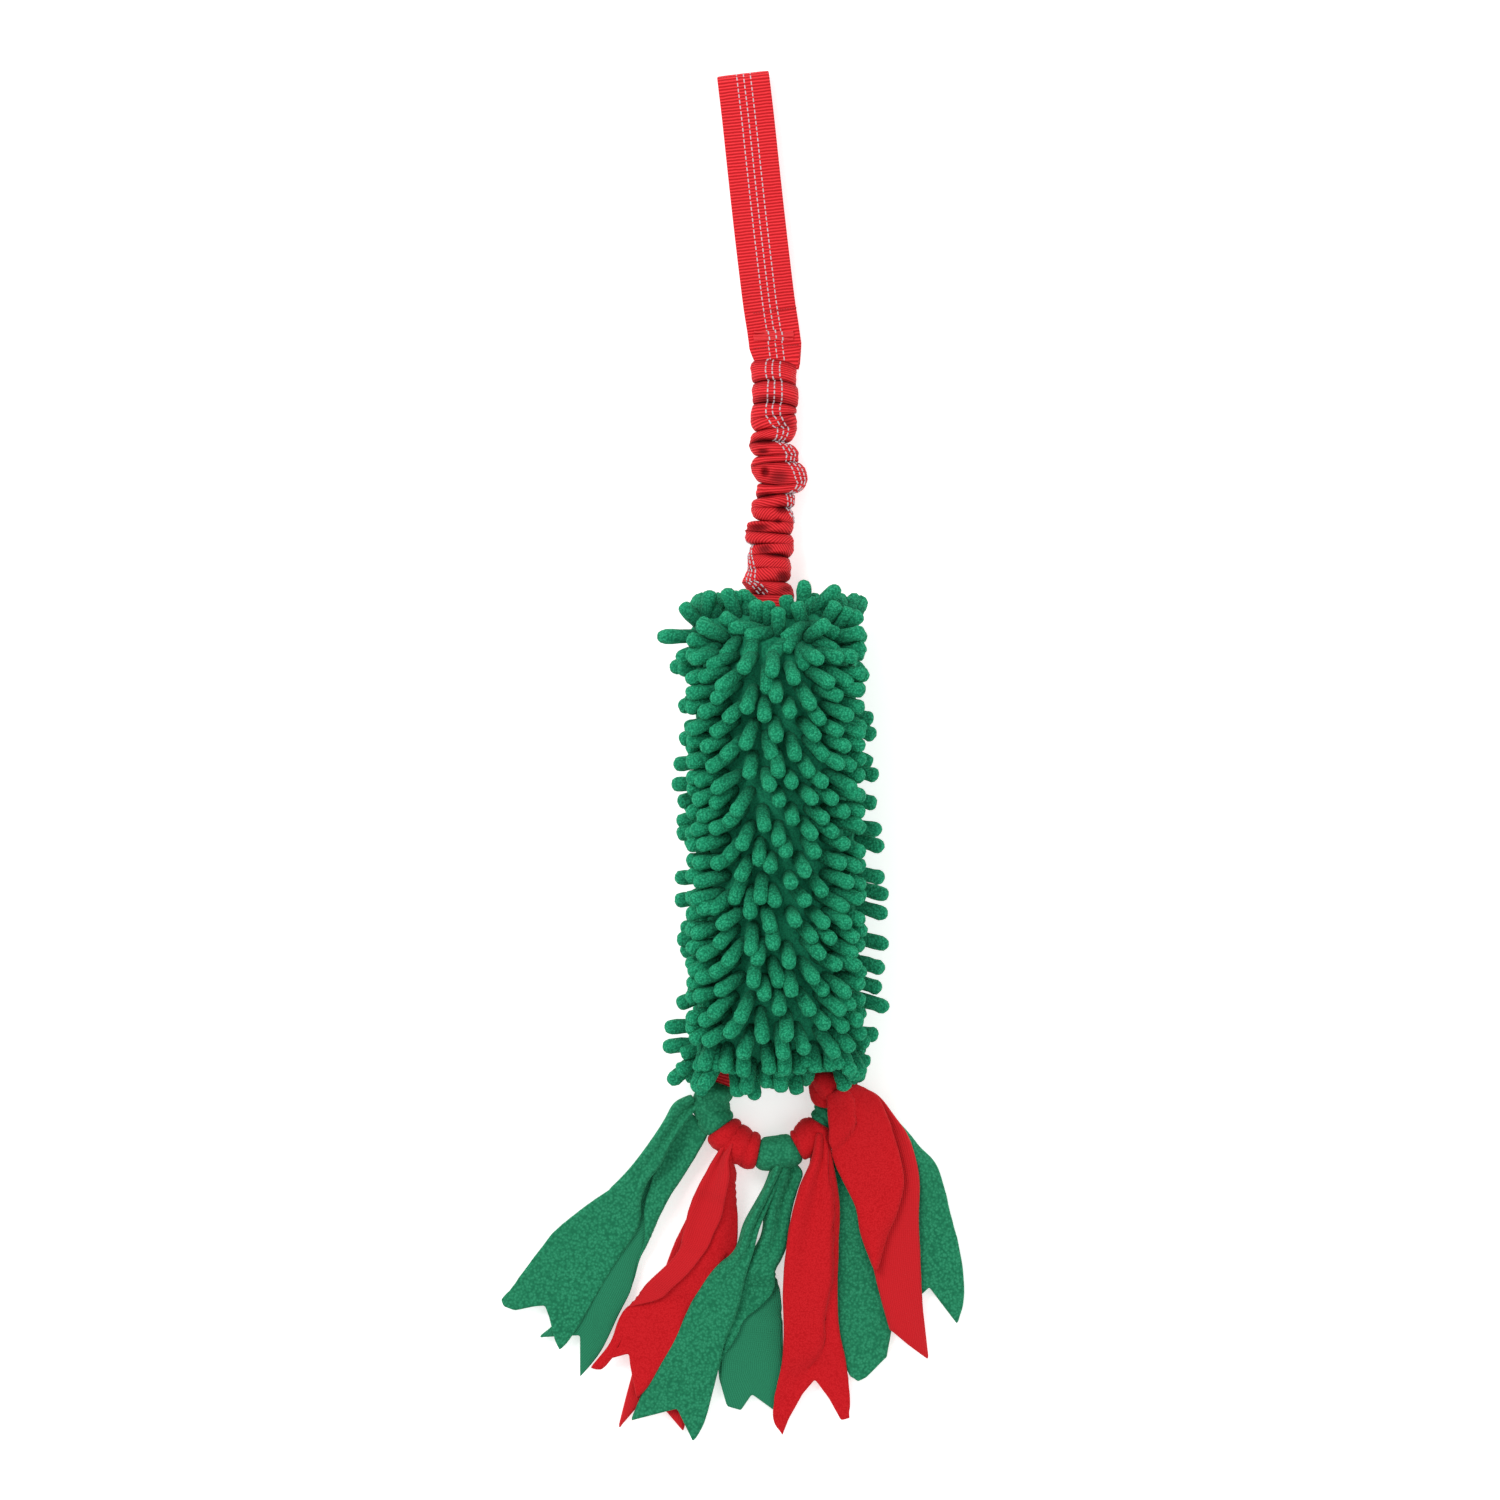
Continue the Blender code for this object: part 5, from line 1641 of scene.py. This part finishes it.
# %% The strips of the first three knots
# Each strip: its layer and upper side, its left edge, right edge and end in the picture, the
# share that is turned over along it, the place and drop of its pleat along it, and its waves
STRIPS = {
    "1a_green": Strip("over", "nap",
        [(692, 1094), (675, 1102), (666, 1118), (653, 1138), (632, 1166), (610, 1188), (588, 1204),
         (560, 1226), (549, 1238), (532, 1262), (517, 1288), (509, 1297)],
        [(700, 1104), (693, 1111), (680, 1129), (671, 1142), (660, 1164), (647, 1181), (640, 1202),
         (639, 1225), (610, 1271), (573, 1334), (559.6, 1349.6)],
        [(509, 1297), (504.5, 1295), (501, 1299.5), (504, 1306), (515, 1310), (534, 1306),
         (545, 1305), (549, 1316), (555, 1340), (559.6, 1349.6)],
        None, None, 1.2),
    "1b_green": Strip("under", "knit",
        [(688, 1108), (663, 1130), (640, 1162), (626, 1194), (608, 1234), (584, 1284), (556, 1322),
         (539, 1337)],
        [(709, 1130), (707, 1136), (688, 1168), (664, 1207), (651, 1238), (639, 1260), (632, 1288),
         (619, 1314), (601, 1351), (580, 1377)],
        [(539, 1337), (580, 1335), (580, 1377)],
        ("right", (0.8, 0.75, 0.5, 0.06, 0, 0, 0)), None, 1),
    "2a_red": Strip("over", "nap",
        [(726, 1140), (718, 1152), (709, 1166), (700, 1182), (692, 1200), (687, 1215), (684, 1231),
         (678, 1251), (667, 1264), (649, 1281), (627, 1305), (618, 1320), (610, 1342),
         (590, 1367)],
        [(737, 1142), (733, 1162), (737, 1175), (738, 1212), (736, 1249), (721, 1265), (704, 1290),
         (692, 1312), (675, 1344), (658, 1370), (645, 1390), (636.6, 1398)],
        [(590, 1367), (596, 1369), (603, 1369), (601.5, 1363.7), (610, 1358), (629, 1352.8),
         (630, 1364), (636.6, 1398)],
        ("left", (0.7, 0.74, 0.68, 0.52, 0.5, 0.42, 0, 0, 0)), None, 1.3),
    "2b_red": Strip("under", "knit",
        [(724, 1148), (712, 1170), (699, 1196), (685, 1222), (674, 1245), (664, 1272), (650, 1310),
         (633, 1372), (619, 1428)],
        [(732, 1150), (732, 1200), (728, 1250), (716, 1290), (700, 1350), (690, 1400),
         (683, 1431)],
        [(619, 1428), (650, 1392), (683, 1431)],
        None, None, 1.0),
    "3a_green": Strip("over", "nap",
        [(773, 1163), (765, 1185), (755, 1203), (744, 1223), (735, 1250), (714, 1268), (697, 1292),
         (683, 1321), (664, 1356), (645, 1387), (631, 1420)],
        [(786, 1165), (776, 1185), (764, 1213), (757, 1232), (753, 1249), (745, 1275), (740, 1300),
         (734, 1318), (725, 1340), (716, 1377), (704, 1422), (693, 1441)],
        [(631, 1420), (677, 1408), (693, 1441)],
        None, None, 1.5),
    "3b_green": Strip("under", "knit",
        [(779, 1166), (768, 1190), (763, 1210), (763, 1222), (760, 1237), (749, 1257), (737, 1287),
         (727, 1325), (720, 1355), (719, 1378), (727, 1406)],
        [(794, 1162), (803, 1172), (797, 1190), (791, 1213), (786, 1248), (777, 1267), (779, 1282),
         (782, 1310), (783, 1361), (785, 1418)],
        [(727, 1406), (741, 1410), (752, 1394), (785, 1418)],
        ("left", (1, 1, 0.98, 0.9, 0.25, 0.02, 0)), None, 1.4),
}
print("strips of the first three knots:", len(STRIPS))

# %% The strips of the last three knots
STRIPS |= {
    "4a_red": Strip("over", "nap",
        [(816, 1132), (812, 1158), (799, 1187), (791, 1218), (786, 1251), (783, 1290), (784, 1330),
         (782, 1363), (775, 1393), (772.5, 1415), (776, 1427), (782, 1436)],
        [(828, 1130), (832, 1160), (839, 1200), (838, 1245), (837, 1292), (839, 1330), (848, 1371),
         (851, 1417)],
        [(782, 1436), (789, 1418), (803, 1393), (815, 1379), (829, 1398), (841, 1420),
         (851, 1417)],
        None, ((0.75, 0.8, 0.85, 0.88, 0.72, 0.5, 0.42),
                (0.003, 0.004, 0.004, 0.004, 0.003, 0.001, 0.0)), 1.4),
    "4b_red": Strip("under", "knit",
        [(812, 1150), (806, 1200), (803, 1250), (802, 1300), (800, 1371)],
        [(828, 1150), (830, 1200), (831, 1250), (832, 1300), (830, 1371)],
        [(800, 1371), (816, 1350), (830, 1371)],
        None, None, 1.5),
    "5a_green": Strip("under", "nap",
        [(832, 1150), (834, 1200), (834, 1245), (834, 1292), (836, 1330), (841, 1356),
         (851, 1376)],
        [(850, 1150), (861, 1195), (872, 1232), (880, 1265), (889, 1303), (892, 1315), (890, 1335),
         (886, 1357)],
        [(851, 1376), (858, 1381), (866, 1377), (886, 1357)],
        None, None, 1.0),
    "5b_green": Strip("under", "nap",
        [(846, 1104), (880, 1120), (900, 1170), (905, 1220), (908, 1260), (912, 1300)],
        [(850, 1096), (880, 1106), (907, 1132), (919, 1147), (935, 1163), (944, 1188), (951, 1218),
         (958, 1244), (963, 1277), (963, 1302), (957, 1324)],
        [(912, 1300), (923, 1293), (929, 1287), (957, 1324)],
        None, None, 1.0),
    "6a_red": Strip("top", "nap",
        [(827, 1092), (827, 1110), (829, 1126), (829, 1142), (837, 1167), (855, 1205), (861, 1233),
         (874, 1266)],
        [(852, 1082), (875, 1093), (887, 1116), (893, 1134), (902, 1167), (903, 1188), (896, 1213),
         (887, 1233), (879, 1259), (876, 1268)],
        [(874, 1266), (875, 1269), (876, 1268)],
        None, ((0.62, 0.45, -0.15, -0.3, -0.3, -0.3),
                (0.003, 0.003, 0.0005, 0.0, 0.0, 0.0)), 1.0),
    "6b_red": Strip("over", "knit",
        [(838, 1090), (856, 1120), (864, 1160), (868, 1200), (869, 1240), (877, 1282),
         (890, 1329)],
        [(846, 1084), (875, 1093), (893, 1114), (907, 1134), (916, 1162), (919, 1188), (918, 1218),
         (920, 1264), (922, 1302), (928, 1359)],
        [(890, 1329), (908, 1344), (928, 1359)],
        None, None, 1.2),
}
print("strips:", len(STRIPS))

# %% Lay the strips
for number, (name, strip) in enumerate(STRIPS.items()):
    code, colour = name.split("_")
    piece, long = tail_piece(f"tail_{name}", strip, number)
    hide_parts(f"tail_{code}")
    body = f"tail_{code}_strip"
    root = (spot(*strip.lefts[0]) + spot(*strip.rights[0])) / 2
    further = (plan_line(strip.lefts, 0.35) + plan_line(strip.rights, 0.35)) / 2
    way = (further - root).normalized()
    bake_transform(piece)
    area = sum(face.area for face in piece.data.polygons) / 2
    print(name, "length", round(long, 3), "area share", round(area / (STRIP_WIDTH * long), 2))

# %% [markdown]
# ## Size
# The finished toy should be as large as its solids, give or take a noodle.
